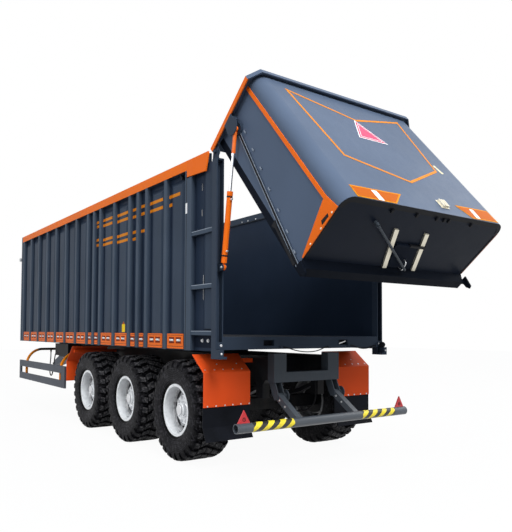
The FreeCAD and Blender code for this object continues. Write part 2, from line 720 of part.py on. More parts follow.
def tail_shell():
    """Sides, rear panel with round corners and bottom of the tailgate, open to the front."""
    inside = TAIL_BOTTOM + TAIL_FLOOR
    outer = tail_block(0.0, (TAIL_BOTTOM, HOOD_UNDER))
    inner = tail_block(TAIL_WALL, (inside, HOOD_UNDER + 1.0))
    front = box((-TAIL_HALF - 1.0, TAIL_HALF + 1.0), (TAIL_MOUTH - TAIL_POST_DEPTH, TAIL_MOUTH + 1.0),
                (TAIL_BOTTOM - 1.0, HOOD_UNDER + 1.0))
    hole = slanted(GUIDE_CENTRE, HATCH_HALF - 20.0, (HATCH_OPENING_REAR + 20.0, HATCH_OPENING_FRONT - 20.0),
                   (TAIL_BOTTOM - 1.0, inside + 1.0))
    return outer.cut(inner).cut(front).cut(hole)


def tail_frame():
    """Front ring of the tailgate: side posts, top beam and a deeper bottom beam with its hooks."""
    y = (TAIL_MOUTH - TAIL_POST_DEPTH, TAIL_MOUTH)
    pieces = pair(box((TAIL_HALF - TAIL_POST_WIDTH, TAIL_HALF), y, (TAIL_BOTTOM, HOOD_UNDER)))
    pieces.append(box((-TAIL_HALF, TAIL_HALF), y, (HOOD_UNDER - TAIL_TOP_BEAM, HOOD_UNDER)))
    low = TAIL_BOTTOM - TAIL_BEAM_DROP
    back = TAIL_MOUTH - TAIL_BEAM_BACK
    inside = TAIL_BOTTOM + TAIL_FLOOR
    pieces.append(prism_x([(TAIL_MOUTH, low), (TAIL_MOUTH, inside), (y[0], inside), (y[0], TAIL_BOTTOM),
                           (back - TAIL_BEAM_TAPER, TAIL_BOTTOM), (back, low)], (-TAIL_HALF, TAIL_HALF)))
    x = (HALF_WIDTH - HOOK_INSET - HOOK_THICKNESS / 2, HALF_WIDTH - HOOK_INSET + HOOK_THICKNESS / 2)
    root = TAIL_BOTTOM - HOOK_ROOT_DROP
    hook = prism_x([(HOOK_BACK, root), (HOOK_FRONT, root), (HOOK_FRONT, HOOK_TIP_Z + 40.0),
                    (HOOK_FRONT - 20.0, HOOK_TIP_Z), (HOOK_BACK + 20.0, HOOK_TIP_Z + 12.0)], x)
    block = box((TAIL_HALF, x[0]), (back, HOOK_FRONT), (low, root))
    pieces += pair(hook) + pair(block)
    return join(*pieces)


def hood_outline(inset):
    half = HOOD_HALF - inset
    rear = HOOD_REAR + inset
    front = PIVOT_Y + ARM_AHEAD
    slope = inset * 0.4
    return [(half, front), (half, rear + HOOD_CUT_LENGTH - slope), (half - HOOD_CUT_WIDTH + slope, rear),
            (HOOD_CUT_WIDTH - slope - half, rear), (-half, rear + HOOD_CUT_LENGTH - slope), (-half, front)]


def tail_roof():
    """Roof sheet with a lip round its rear, and the two lugs that hang on the pivot pins."""
    sheet_top = prism_z(hood_outline(ARM_THICKNESS), (HOOD_UNDER, HOOD_HIGH))
    rim_block = prism_z(hood_outline(0.0), (HOOD_LOW, HOOD_HIGH))
    rim_block = rim_block.cut(prism_z(hood_outline(ARM_THICKNESS), (HOOD_LOW - 1.0, HOOD_HIGH + 1.0)))
    rim_block = rim_block.common(box((-BODY_WIDTH, BODY_WIDTH), (HOOD_REAR - 1.0, HOOD_REAR + HOOD_CUT_LENGTH),
                                     (HOOD_LOW - 1.0, HOOD_HIGH + 1.0)))
    front = PIVOT_Y + ARM_AHEAD
    x = (HALF_WIDTH - LUG_INSET - LUG_WIDTH, HALF_WIDTH - LUG_INSET)
    lug = join(prism_x([(PIVOT_Y - LUG_RADIUS * 2, HOOD_UNDER), (front, HOOD_UNDER),
                        (PIVOT_Y + LUG_RADIUS, PIVOT_Z), (PIVOT_Y - LUG_RADIUS, PIVOT_Z)], x),
               rod((x[0], PIVOT_Y, PIVOT_Z), (x[1], PIVOT_Y, PIVOT_Z), LUG_RADIUS))
    lug = lug.cut(rod((x[0] - 1.0, PIVOT_Y, PIVOT_Z), (x[1] + 1.0, PIVOT_Y, PIVOT_Z), PIN_RADIUS + RUNNING))
    return join(sheet_top, rim_block, *pair(lug))


def tail_arm():
    """Painted strip along the hood's side, from the cut corner forward past the pivot."""
    return box((HOOD_HALF - ARM_THICKNESS, HOOD_HALF), (HOOD_REAR + HOOD_CUT_LENGTH, PIVOT_Y + ARM_AHEAD),
               (HOOD_LOW, HOOD_HIGH))


def side_rib():
    """Slanted stiffener on the side, with the boss and the round plate that hold the cylinder's eye."""
    top_z = HOOD_UNDER
    low_z = TAIL_BOTTOM
    rib = prism_x([(SIDE_RIB_TOP_Y, top_z), (SIDE_RIB_TOP_Y + SIDE_RIB_WIDTH, top_z),
                   (SIDE_RIB_LOW_Y + SIDE_RIB_WIDTH / 2, low_z), (SIDE_RIB_LOW_Y - SIDE_RIB_WIDTH / 2, low_z)],
                  (TAIL_HALF, TAIL_HALF + SIDE_RIB_DEPTH))
    inner = CYL_PLANE - CYL_EYE_WIDTH / 2 - DISC_SIDE
    outer = CYL_PLANE + CYL_EYE_WIDTH / 2 + DISC_SIDE
    web = (CYL_UP_Y - BOSS_RADIUS, CYL_UP_Y + BOSS_RADIUS)
    boss = join(rod((TAIL_HALF, CYL_UP_Y, CYL_UP_Z), (inner, CYL_UP_Y, CYL_UP_Z), BOSS_RADIUS),
                box((TAIL_HALF, inner), web, (CYL_UP_Z, HOOD_UNDER)))
    disc_y = CYL_UP_Y + DISC_AHEAD
    disc_z = HOOD_LOW - DISC_RADIUS - DISC_DROP
    plate = rod((outer, disc_y, disc_z), (outer + LUG_PLATE, disc_y, disc_z), DISC_RADIUS)
    width = (disc_y - DISC_RADIUS * DISC_FOOT, disc_y + DISC_RADIUS * DISC_FOOT)
    foot = box((outer, outer + LUG_PLATE), width, (disc_z, HOOD_LOW))
    tie = box((inner - 2.0, outer + LUG_PLATE), width, (CYL_UP_Z + CYL_EYE_RADIUS * 2.4, HOOD_LOW - 40.0))
    return join(rib, boss, plate, foot, tie)


def gusset():
    """Painted corner plate along the bottom edge of the tailgate's side, with its upright strip."""
    rear = TAIL_REAR + TAIL_CORNER
    x = (TAIL_HALF, TAIL_HALF + GUSSET_THICKNESS)
    corner = TAIL_BOTTOM + GUSSET_HEIGHT
    plate = prism_x([(rear, TAIL_BOTTOM), (GUSSET_TIP_Y, TAIL_BOTTOM), (GUSSET_TIP_Y, TAIL_BOTTOM + 14.0),
                     (STRIP_REAR + STRIP_WIDTH, corner), (STRIP_REAR, corner)], x)
    strip = box(x, (STRIP_REAR, STRIP_REAR + STRIP_WIDTH), (corner, HOOD_UNDER))
    return join(plate, strip)


def hatch_parts():
    """Guides, sliding plate with its grip bar, and lever under the tailgate's bottom."""
    low = TAIL_BOTTOM
    y = (HATCH_REAR_Y, HATCH_FRONT_Y)
    guides = [slanted(GUIDE_CENTRE + side * GUIDE_HALF_GAP, GUIDE_WIDTH / 2, y, (low - GUIDE_THICKNESS, low))
              for side in (-1, 1)]
    opening = (HATCH_OPENING_REAR, HATCH_OPENING_FRONT)
    under = low - SEAT_GAP
    plate = slanted(GUIDE_CENTRE, HATCH_HALF, opening, (under - HATCH_THICKNESS, under))
    grip = slanted(GUIDE_CENTRE, HATCH_HALF, (HATCH_OPENING_REAR, HATCH_OPENING_REAR + 24.0),
                   (under - HATCH_THICKNESS - 20.0, under - HATCH_THICKNESS))
    height = low - LEVER_STAND
    start = (-640.0, -585.0, height)
    end = (130.0, -54.0 - TAIL_BEAM_TAPER - 20.0, height)
    lever = join(rod(start, end, LEVER_RADIUS), rod(start, (start[0], start[1], low), LEVER_RADIUS * 1.5))
    return guides, join(plate, grip), lever


def cylinder_ends():
    """Lower pin, and upper eye at rest, of the right-hand tailgate cylinder."""
    angle = math.radians(TAIL_OPEN)
    dy = CYL_UP_Y - PIVOT_Y
    dz = CYL_UP_Z - PIVOT_Z
    rest_y = PIVOT_Y + dy * math.cos(angle) + dz * math.sin(angle)
    rest_z = PIVOT_Z - dy * math.sin(angle) + dz * math.cos(angle)
    return Vec(CYL_PLANE, CYL_LOW_Y, CYL_LOW_Z), Vec(CYL_PLANE, rest_y, rest_z)


def closed_length():
    """Distance between the cylinder's pins with the tailgate closed."""
    return math.hypot(CYL_UP_Y - CYL_LOW_Y, CYL_UP_Z - CYL_LOW_Z)


def tail_cylinder():
    low, high = cylinder_ends()
    along = (high - low).normalize()
    half = CYL_EYE_WIDTH / 2

    def turned_bar(start, length, radius):
        return Part.makeCylinder(radius, length, low + along * start, along)

    eye = rod((low.x - half, low.y, low.z), (low.x + half, low.y, low.z), CYL_EYE_RADIUS)
    neck = turned_bar(CYL_EYE_RADIUS - 8.0, CYL_NECK_LENGTH, CYL_NECK)
    body = turned_bar(CYL_NECK_LENGTH, BARREL_LENGTH - CYL_NECK_LENGTH, BARREL_RADIUS)
    collar = turned_bar(BARREL_LENGTH - COLLAR_LENGTH, COLLAR_LENGTH, COLLAR_RADIUS)
    bore = turned_bar(ROD_BASE - ROD_SPARE, BARREL_LENGTH, ROD_RADIUS + RUNNING)
    hole = rod((low.x - half - 1.0, low.y, low.z), (low.x + half + 1.0, low.y, low.z), CYL_PIN + RUNNING)
    barrel = join(body, neck, eye, collar).cut(bore).cut(hole)
    reach = (high - low).Length
    rod_start = ROD_BASE + reach - closed_length()
    shaft = turned_bar(rod_start, reach - rod_start - CYL_EYE_RADIUS + 8.0, ROD_RADIUS)
    sleeve = turned_bar(reach - CYL_EYE_RADIUS - ROD_END_LENGTH, ROD_END_LENGTH, ROD_END_RADIUS)
    top_eye = rod((high.x - half, high.y, high.z), (high.x + half, high.y, high.z), CYL_EYE_RADIUS)
    reach_x = half + CYL_PIN_SIDE
    pin = rod((high.x - reach_x, high.y, high.z), (high.x + reach_x, high.y, high.z), CYL_PIN)
    return barrel, join(shaft, sleeve, top_eye, pin)


def cross_member_y(k):
    return CROSS_REAR + (CHASSIS_FRONT - CROSS_FRONT_INSET - CROSS_REAR) * k / (CROSS_COUNT - 1)


def chassis_frame():
    """Two longitudinal rails joined by cross members."""
    pieces = pair(box((RAIL_CENTRE - CHASSIS_RAIL_WIDTH / 2, RAIL_CENTRE + CHASSIS_RAIL_WIDTH / 2),
                      (REAR_FRAME_DEPTH, CHASSIS_FRONT), (CHASSIS_LOW, CHASSIS_HIGH)))
    half = RAIL_CENTRE - CHASSIS_RAIL_WIDTH / 2
    for k in range(CROSS_COUNT):
        centre = cross_member_y(k)
        pieces.append(box((-half, half), (centre - CROSS_WIDTH / 2, centre + CROSS_WIDTH / 2),
                          (CHASSIS_LOW + CROSS_INSET, CHASSIS_HIGH - CROSS_INSET)))
    return join(*pieces)


def bumper_bracket_x():
    inner = BUMPER_ARM_X - BUMPER_ARM / 2 - SEAT_GAP - BUMPER_CHEEK
    outer = BUMPER_ARM_X + BUMPER_ARM / 2 + SEAT_GAP
    return inner, outer


def rear_frame():
    """U-shaped end frame of the chassis, with the cheeks that carry the folding bumper."""
    y = (0.0, REAR_FRAME_DEPTH)
    block = box((-REAR_FRAME_HALF, REAR_FRAME_HALF), y, (REAR_FRAME_LOW, REAR_FRAME_TOP))
    gap_half = REAR_FRAME_HALF - REAR_FRAME_POST
    block = block.cut(box((-gap_half, gap_half), (-1, REAR_FRAME_DEPTH + 1),
                          (REAR_FRAME_LOW + REAR_FRAME_BAR, REAR_FRAME_TOP + 1)))
    pieces = [block]
    y, z = BUMPER_PIVOT_Y, BUMPER_PIVOT_Z
    cheek = [(REAR_FRAME_DEPTH, REAR_FRAME_LOW), (12.0, REAR_FRAME_LOW), (y - 44.0, z + 26.0),
             (y - 30.0, z - 36.0), (y + 22.0, z - 44.0), (y + 62.0, z + 12.0)]
    inner, outer = bumper_bracket_x()
    for side in (-1, 1):
        for near in (inner, outer):
            pieces.append(prism_x(cheek, sorted((side * near, side * (near + BUMPER_CHEEK)))))
        right = side * BUMPER_ARM_X + BUMPER_ARM / 2 + SEAT_GAP + BUMPER_CHEEK
        left = side * BUMPER_ARM_X - BUMPER_ARM / 2 - SEAT_GAP - BUMPER_CHEEK
        stand = right + LOCK_PLATE_STAND
        pieces.append(rod((left, y, z), (right, y, z), BUMPER_PIN))
        pieces.append(rod((right, y, z), (stand, y, z), LOCK_BOSS_RADIUS))
        pieces.append(rod((stand, y, z), (stand + LOCK_PLATE_THICKNESS, y, z), LOCK_PLATE_RADIUS))
    return join(*pieces)


def bumper_bar():
    """Cross tube on two arms that turn about the pins under the end frame."""
    tube = rod((-BUMPER_HALF, BUMPER_Y, BUMPER_Z), (BUMPER_HALF, BUMPER_Y, BUMPER_Z), BUMPER_RADIUS)
    bore = rod((BUMPER_HALF - BUMPER_BORE, BUMPER_Y, BUMPER_Z), (BUMPER_HALF + 1, BUMPER_Y, BUMPER_Z),
               BUMPER_RADIUS - BUMPER_WALL)
    for end in pair(bore):
        tube = tube.cut(end)
    dy = BUMPER_Y - BUMPER_PIVOT_Y
    dz = BUMPER_Z - BUMPER_PIVOT_Z
    length = math.hypot(dy, dz)
    angle = math.degrees(math.atan2(-dz, -dy))
    pieces = [tube]
    for side in (-1, 1):
        x = (side * BUMPER_ARM_X - BUMPER_ARM / 2, side * BUMPER_ARM_X + BUMPER_ARM / 2)
        arm = box(x, (BUMPER_PIVOT_Y - length, BUMPER_PIVOT_Y),
                  (BUMPER_PIVOT_Z - BUMPER_ARM / 2, BUMPER_PIVOT_Z + BUMPER_ARM / 2))
        eye = rod((x[0], BUMPER_PIVOT_Y, BUMPER_PIVOT_Z), (x[1], BUMPER_PIVOT_Y, BUMPER_PIVOT_Z),
                  BUMPER_ARM / 2)
        hole = rod((x[0] - 1, BUMPER_PIVOT_Y, BUMPER_PIVOT_Z), (x[1] + 1, BUMPER_PIVOT_Y, BUMPER_PIVOT_Z),
                   BUMPER_PIN + RUNNING)
        pieces.append(turned(join(arm, eye).cut(hole), BUMPER_PIVOT_Y, BUMPER_PIVOT_Z, -angle))
    return join(*pieces)


def reflectors():
    top = BUMPER_Z + BUMPER_RADIUS
    half = REFLECTOR_SIDE / 2
    height = REFLECTOR_SIDE * math.sqrt(0.75)
    y = (BUMPER_Y - REFLECTOR_THICKNESS / 2, BUMPER_Y + REFLECTOR_THICKNESS / 2)
    made = []
    for side in (-1, 1):
        x = side * REFLECTOR_X
        made.append(prism_y([(x - half, top), (x + half, top), (x, top + height)], y))
    return made


def drawbar():
    """Tapered box beam from the chassis rails to the towing eye: plan and side outlines met."""
    root = RAIL_CENTRE + CHASSIS_RAIL_WIDTH / 2
    plan = prism_z([(root, CHASSIS_FRONT), (DRAWBAR_WAIST_HALF, DRAWBAR_WAIST_Y),
                    (DRAWBAR_END_HALF, DRAWBAR_END_Y), (-DRAWBAR_END_HALF, DRAWBAR_END_Y),
                    (-DRAWBAR_WAIST_HALF, DRAWBAR_WAIST_Y),
                    (-root, CHASSIS_FRONT)], (0, CHASSIS_HIGH + 50.0))
    side = prism_x([(CHASSIS_FRONT, CHASSIS_LOW), (CHASSIS_FRONT, CHASSIS_HIGH),
                    (BODY_LENGTH + DRAWBAR_ROOT_TOP, CHASSIS_HIGH), (DRAWBAR_END_Y, DRAWBAR_END_HIGH),
                    (DRAWBAR_END_Y, DRAWBAR_END_LOW), (BODY_LENGTH + DRAWBAR_ROOT_LOW, CHASSIS_LOW)],
                   (-root, root))
    half = JACK_BRACKET_DEPTH / 2
    bracket = box((0, JACK_X - JACK_TUBE / 2), (JACK_Y - half, JACK_Y + half),
                  (JACK_BRACKET_LOW, JACK_BRACKET_HIGH))
    return join(plan.common(side), bracket)


def towing_eye():
    middle = (DRAWBAR_END_LOW + DRAWBAR_END_HIGH) / 2
    flange = box((-DRAWBAR_END_HALF, DRAWBAR_END_HALF), (DRAWBAR_END_Y, DRAWBAR_END_Y + EYE_FLANGE),
                 (DRAWBAR_END_LOW, DRAWBAR_END_HIGH))
    centre_y = eye_centre_y()
    shank = rod((0, DRAWBAR_END_Y + EYE_FLANGE, middle), (0, centre_y - EYE_RADIUS * 0.7, middle),
                EYE_SHANK_RADIUS)
    half = EYE_THICKNESS / 2
    ring = rod((0, centre_y, middle - half), (0, centre_y, middle + half), EYE_RADIUS)
    bore = rod((0, centre_y, middle - 100.0), (0, centre_y, middle + 100.0), EYE_BORE)
    return join(flange, shank, ring).cut(bore)


def eye_centre_y():
    return DRAWBAR_END_Y + EYE_FLANGE + EYE_SHANK + EYE_RADIUS


def jack():
    """Square tube on the drawbar's right-hand bracket, and the leg that slides in it."""
    half = JACK_TUBE / 2
    tube = box((JACK_X - half, JACK_X + half), (JACK_Y - half, JACK_Y + half), (JACK_LOW, JACK_TOP))
    hollow = half - JACK_WALL
    tube = tube.cut(box((JACK_X - hollow, JACK_X + hollow), (JACK_Y - hollow, JACK_Y + hollow),
                        (JACK_LOW - 1.0, JACK_TOP - JACK_CAP)))
    leg_half = JACK_LEG / 2
    leg = box((JACK_X - leg_half, JACK_X + leg_half), (JACK_Y - leg_half, JACK_Y + leg_half),
              (JACK_FOOT_THICKNESS, JACK_TOP - JACK_CAP))
    foot_half = JACK_FOOT / 2
    foot = box((JACK_X - foot_half, JACK_X + foot_half), (JACK_Y - foot_half, JACK_Y + foot_half),
               (0, JACK_FOOT_THICKNESS))
    return tube, join(leg, foot)


def axle_positions():
    return [REAR_AXLE_Y + AXLE_PITCH * k for k in range(AXLE_COUNT)]


def flange_x():
    return HALF_WIDTH - RIM_INSET


def disc_x():
    return flange_x() - DISC_INSET


def revolve_x(points, y, z):
    """A profile of (x, radius) points, revolved about an axis along X through (y, z)."""
    profile = face([Vec(x, y, z + r) for x, r in points])
    return profile.revolve(Vec(0, y, z), Vec(1, 0, 0), 360)


def tyre(y):
    """Solid tyre whose foot fills the rim's barrel outside its seat and between its flanges."""
    outer = HALF_WIDTH
    inner = HALF_WIDTH - TYRE_WIDTH
    seat = RIM_SEAT + SEAT_GAP
    edge = flange_x() - RIM_FLANGE_WIDTH - SEAT_GAP
    inner_edge = flange_x() - RIM_WIDTH + RIM_FLANGE_WIDTH + SEAT_GAP
    heel = RIM_FLANGE + SEAT_GAP
    points = [(edge, seat), (edge, heel), (outer - TYRE_HEEL_INSET, TYRE_HEEL), (outer, TYRE_SIDE),
              (outer - TYRE_SHOULDER_INSET, TYRE_SHOULDER), (outer - TYRE_TREAD_INSET, TYRE_RADIUS),
              (inner + TYRE_TREAD_INSET, TYRE_RADIUS), (inner + TYRE_SHOULDER_INSET, TYRE_SHOULDER),
              (inner, TYRE_SIDE), (inner + TYRE_HEEL_INSET, TYRE_HEEL), (inner_edge, heel), (inner_edge, seat)]
    return revolve_x(points, y, TYRE_RADIUS)


def rim(y):
    """Rim barrel with flanges, dished disc, hub, cap and brake drum."""
    out = flange_x()
    back = out - RIM_WIDTH
    seat = RIM_SEAT
    wall = seat - RIM_WALL
    lip = RIM_FLANGE_WIDTH
    face_x = disc_x()
    well = (out - RIM_WELL_START, out - RIM_WELL_END)
    barrel = revolve_x([(out, wall), (out, RIM_FLANGE), (out - lip, RIM_FLANGE), (out - lip, seat),
                        (well[0] + RIM_WELL, seat), (well[0], seat - RIM_WELL), (well[1], seat - RIM_WELL),
                        (well[1] - RIM_WELL, seat), (back + lip, seat), (back + lip, RIM_FLANGE),
                        (back, RIM_FLANGE), (back, wall), (well[1] - RIM_WELL, wall),
                        (well[1], wall - RIM_WELL), (well[0], wall - RIM_WELL), (well[0] + RIM_WELL, wall)],
                       y, TYRE_RADIUS)
    drum_front = face_x - DISC_THICKNESS
    drum_back = drum_front - DRUM_LENGTH
    hub_face = face_x + HUB_FLANGE_THICKNESS
    centre = revolve_x([(face_x + HUB_CAP, 0.0), (face_x + HUB_CAP, HUB_CAP_RADIUS),
                        (face_x + HUB_CAP - HUB_CAP_BEVEL, HUB_RADIUS), (hub_face, HUB_RADIUS),
                        (hub_face, HUB_FLANGE), (face_x, HUB_FLANGE), (face_x, DISC_FLAT),
                        (well[0] + 12.0, wall - RIM_WELL + 2.0), (well[0] - 10.0, wall - RIM_WELL + 2.0),
                        (drum_front, DRUM_RADIUS), (drum_back, DRUM_RADIUS), (drum_back, 0.0)], y, TYRE_RADIUS)
    bore = rod((drum_back - 1.0, y, TYRE_RADIUS), (face_x + HUB_CAP / 3, y, TYRE_RADIUS),
               SPINDLE_RADIUS + RUNNING)
    return join(barrel, centre).cut(bore)


def axle(y):
    half = AXLE_BEAM / 2
    drum_back = disc_x() - DISC_THICKNESS - DRUM_LENGTH
    plate_out = drum_back - BACKPLATE_GAP
    beam = box((-plate_out + BACKPLATE, plate_out - BACKPLATE), (y - half, y + half),
               (TYRE_RADIUS - half, TYRE_RADIUS + half))
    pieces = [beam]
    for side in (-1, 1):
        inner = side * (plate_out - BACKPLATE)
        outer = side * plate_out
        spindle_end = side * (disc_x() + SPINDLE_REACH)
        pieces.append(rod((inner, y, TYRE_RADIUS), (outer, y, TYRE_RADIUS), DRUM_RADIUS - BACKPLATE_STEP))
        pieces.append(rod((inner, y, TYRE_RADIUS), (spindle_end, y, TYRE_RADIUS), SPINDLE_RADIUS))
        seat = RAIL_CENTRE * side
        pieces.append(box((seat - SPRING_SEAT, seat + SPRING_SEAT), (y - SPRING_SEAT, y + SPRING_SEAT),
                          (TYRE_RADIUS + half - 1.0, spring_seat_z())))
    return join(*pieces)


def spring_seat_z():
    return TYRE_RADIUS + AXLE_BEAM / 2 + SPRING_THICKNESS / 4


def hanger_positions():
    return [REAR_AXLE_Y - REAR_HANGER_BACK] + [REAR_AXLE_Y + AXLE_PITCH * (k + 0.5) for k in range(AXLE_COUNT)]


def spring_hangers():
    made = []
    for y in hanger_positions():
        half = HANGER_LENGTH / 2
        outline = [(y - half - HANGER_FLARE, CHASSIS_LOW), (y + half + HANGER_FLARE, CHASSIS_LOW),
                   (y + half, HANGER_KNEE), (y + half, HANGER_LOW), (y - half, HANGER_LOW),
                   (y - half, HANGER_KNEE)]
        made += pair(prism_x(outline, (RAIL_CENTRE - HANGER_WIDTH / 2, RAIL_CENTRE + HANGER_WIDTH / 2)))
    return made


def leaf_spring(y, hanger_back, hanger_front):
    """Leaf pack that dips from its two hangers to a flat seat on the axle."""
    seat = spring_seat_z()
    back = hanger_back + HANGER_LENGTH / 2 + SEAT_GAP
    front = hanger_front - HANGER_LENGTH / 2 - SEAT_GAP
    half = SPRING_SEAT
    line = [(back, SPRING_END_Z), ((back + y - half) / 2, (SPRING_END_Z + seat) / 2 - SPRING_THICKNESS / 3),
            (y - half, seat), (y + half, seat),
            ((front + y + half) / 2, (SPRING_END_Z + seat) / 2 - SPRING_THICKNESS / 3), (front, SPRING_END_Z)]
    top = [(at, z + SPRING_THICKNESS) for at, z in line]
    return prism_x(line + top[::-1], (RAIL_CENTRE - SPRING_WIDTH / 2, RAIL_CENTRE + SPRING_WIDTH / 2))


def sheet(outline, x):
    """A bent sheet from its open (y, z) centre line, as a mitred strip of the guard's thickness."""
    offset = []
    for k, (y, z) in enumerate(outline):
        before = outline[max(k - 1, 0)]
        after = outline[min(k + 1, len(outline) - 1)]
        first = math.atan2(z - before[1], y - before[0]) if k else None
        second = math.atan2(after[1] - z, after[0] - y) if k < len(outline) - 1 else None
        first = second if first is None else first
        second = first if second is None else second
        bisector = (first + second) / 2
        reach = GUARD_THICKNESS / math.cos((second - first) / 2)
        offset.append((y - math.sin(bisector) * reach, z + math.cos(bisector) * reach))
    return prism_x(outline + offset[::-1], x)


def guard_strut(y):
    """Square tube from the chassis rail out under a mudguard's slope."""
    return box((RAIL_CENTRE + CHASSIS_RAIL_WIDTH / 2, HALF_WIDTH - STRUT_SHORT), (y, y + STRUT),
               (GUARD_TOP - STRUT_DROP - STRUT, GUARD_TOP - STRUT_DROP))


def rear_mudguard():
    line = [(GUARD_REAR_Y, GUARD_REAR_LOW), (GUARD_REAR_Y, GUARD_REAR_CORNER), (GUARD_REAR_TOP_Y, GUARD_TOP)]
    guard = sheet(line, (GUARD_INNER, HALF_WIDTH))
    return join(guard, guard_strut(GUARD_REAR_TOP_Y - 70.0))


def front_mudguard():
    line = [(GUARD_FRONT_TOP_Y, GUARD_TOP), (GUARD_FRONT_CORNER_Y, GUARD_FRONT_CORNER),
            (GUARD_FRONT_CORNER_Y, GUARD_FRONT_LOW)]
    guard = sheet(line, (GUARD_INNER, HALF_WIDTH))
    return join(guard, guard_strut(GUARD_FRONT_TOP_Y + 30.0))


def mud_flap():
    """Rubber flap behind the wheel, kicked back towards its lower edge."""
    y = GUARD_REAR_Y
    line = [(y, GUARD_REAR_LOW + FLAP_LAP), (y, FLAP_BEND), (y - FLAP_KICK, FLAP_LOW)]
    front = [(at + FLAP_THICKNESS, z) for at, z in line]
    return prism_x(line + front[::-1], (GUARD_INNER, HALF_WIDTH))


def side_guard():
    x = (HALF_WIDTH - SIDE_RAIL_THICKNESS, HALF_WIDTH)
    block = box(x, (SIDE_GUARD_REAR, BODY_LENGTH), (SIDE_RAIL_LOW, SIDE_RAIL_HIGH))
    slot = box((x[0] - 1.0, x[1] + 1.0), (SIDE_GUARD_REAR + SIDE_GUARD_POST, BODY_LENGTH - SIDE_GUARD_END),
               (SIDE_RAIL_LOW + SIDE_RAIL_BAND, SIDE_RAIL_HIGH - SIDE_RAIL_BAND))
    return block.cut(slot)


def guard_bracket(y):
    """Bent pipe that carries the side guard: up behind its rails and inward to a flange on the chassis rail."""
    guard_in = HALF_WIDTH - SIDE_RAIL_THICKNESS
    x = guard_in - BRACKET_PIPE
    bend_x = x - BRACKET_BEND
    bend_z = BRACKET_Z - BRACKET_BEND
    rail = RAIL_CENTRE + CHASSIS_RAIL_WIDTH / 2
    upright = rod((x, y, BRACKET_LOW), (x, y, bend_z), BRACKET_PIPE)
    section = Part.Face(Part.Wire(Part.makeCircle(BRACKET_PIPE, Vec(x, y, bend_z), Vec(0, 0, 1))))
    bend = section.revolve(Vec(bend_x, y, bend_z), Vec(0, -1, 0), 90)
    level = rod((bend_x, y, BRACKET_Z), (rail, y, BRACKET_Z), BRACKET_PIPE)
    half = BRACKET_FLANGE / 2
    flange = box((rail, rail + BRACKET_FLANGE_THICKNESS), (y - half, y + half),
                 (BRACKET_Z - half, BRACKET_Z + half))
    pieces = [upright, bend, level, flange]
    for low in (SIDE_RAIL_LOW, SIDE_RAIL_HIGH - SIDE_RAIL_BAND):
        middle = low + SIDE_RAIL_BAND / 2
        pieces.append(box((x, guard_in), (y - BRACKET_PIPE, y + BRACKET_PIPE),
                          (middle - BRACKET_PIPE, middle + BRACKET_PIPE)))
    half = CLIP_WIDTH / 2
    pieces.append(box((HOSE_CLIP_X - half, HOSE_CLIP_X + half), (y - half, y + half),
                      (hose_clip_z(), BRACKET_Z)))
    return join(*pieces)


def hose_clip_z():
    return BRACKET_Z - BRACKET_PIPE - HOSE_CLIP_DROP


def front_bracket_y():
    return BODY_LENGTH - BRACKET_FRONT


def valve_box():
    """Box with the brake valves, hung from the cross bearers on the left of the chassis."""
    half = VALVE_BOX_WIDTH / 2
    x = (-HOSE_CLIP_X - half, -HOSE_CLIP_X + half)
    y = (VALVE_BOX_REAR, VALVE_BOX_REAR + VALVE_BOX_LENGTH)
    z = (VALVE_BOX_LOW, VALVE_BOX_TOP)
    cut = VALVE_BOX_CHAMFER
    body = prism_x([(y[0] + cut, z[0]), (y[1] - cut, z[0]), (y[1], z[0] + cut), (y[1], z[1]), (y[0], z[1]),
                    (y[0], z[0] + cut)], x)
    pieces = [body]
    for centre in rib_centres()[-4:-2]:
        pieces.append(box((x[0] + cut, x[1] - cut), (centre - BEARER_WIDTH / 2, centre + BEARER_WIDTH / 2),
                          (z[1], BODY_BOTTOM)))
    return join(*pieces)


def cord(name, route, radius):
    """A hanging cable: straight runs joined by the largest tangent arcs that they allow."""
    points = [Vec(*point) for point in route]
    edges = []
    tightest = 1e9
    start = points[0]
    for before, here, after in zip(points, points[1:], points[2:]):
        back = (before - here).normalize()
        on = (after - here).normalize()
        half_turn = (math.pi - back.getAngle(on)) / 2
        run = 0.45 * min((before - here).Length, (after - here).Length)
        bend = run / math.tan(half_turn)
        inward = (back + on).normalize()
        centre = here + inward * (bend / math.cos(half_turn))
        first, last = here + back * run, here + on * run
        edges.append(Part.LineSegment(start, first).toShape())
        edges.append(Part.Arc(first, centre - inward * bend, last).toShape())
        start = last
        tightest = min(tightest, bend)
    edges.append(Part.LineSegment(start, points[-1]).toShape())
    path = Part.Wire(edges)
    section = Part.Wire(Part.makeCircle(radius, points[0], points[1] - points[0]))
    tube = path.makePipeShell([section], True, True)
    share = tube.Volume / (math.pi * radius ** 2 * path.Length)
    print(f"{name}: length {path.Length:.0f}, tightest bend {tightest:.0f}, volume share {share:.3f}")
    return tube


def push_wall():
    """Shield with an upright foot and a leaning face, carried by two side cheeks."""
    half = WALL_INNER - PUSH_SIDE_GAP
    low = FLOOR_TOP + PUSH_FLOOR_GAP
    face_y = PUSH_FACE_Y
    top_y = face_y + PUSH_LEAN
    slope = PUSH_PLATE / 3
    outline = [(face_y, low), (face_y, PUSH_KNEE), (top_y, PUSH_TOP), (top_y + PUSH_PLATE, PUSH_TOP),
               (face_y + PUSH_PLATE, PUSH_KNEE - slope), (face_y + PUSH_PLATE, low)]
    pieces = [prism_x(outline, (-half, half))]
    frame = (top_y, top_y + PUSH_FRAME)
    cheek = prism_x([(face_y + slope, low), (face_y + slope, PUSH_KNEE), (top_y + slope, PUSH_TOP),
                     (frame[1], PUSH_TOP), (frame[1], low)], (half - PUSH_CHEEK, half))
    pieces += pair(cheek)
    for z in (low, PUSH_TOP - PUSH_FRAME_BEAM):
        pieces.append(box((-half, half), frame, (z, z + PUSH_FRAME_BEAM)))
    return join(*pieces)


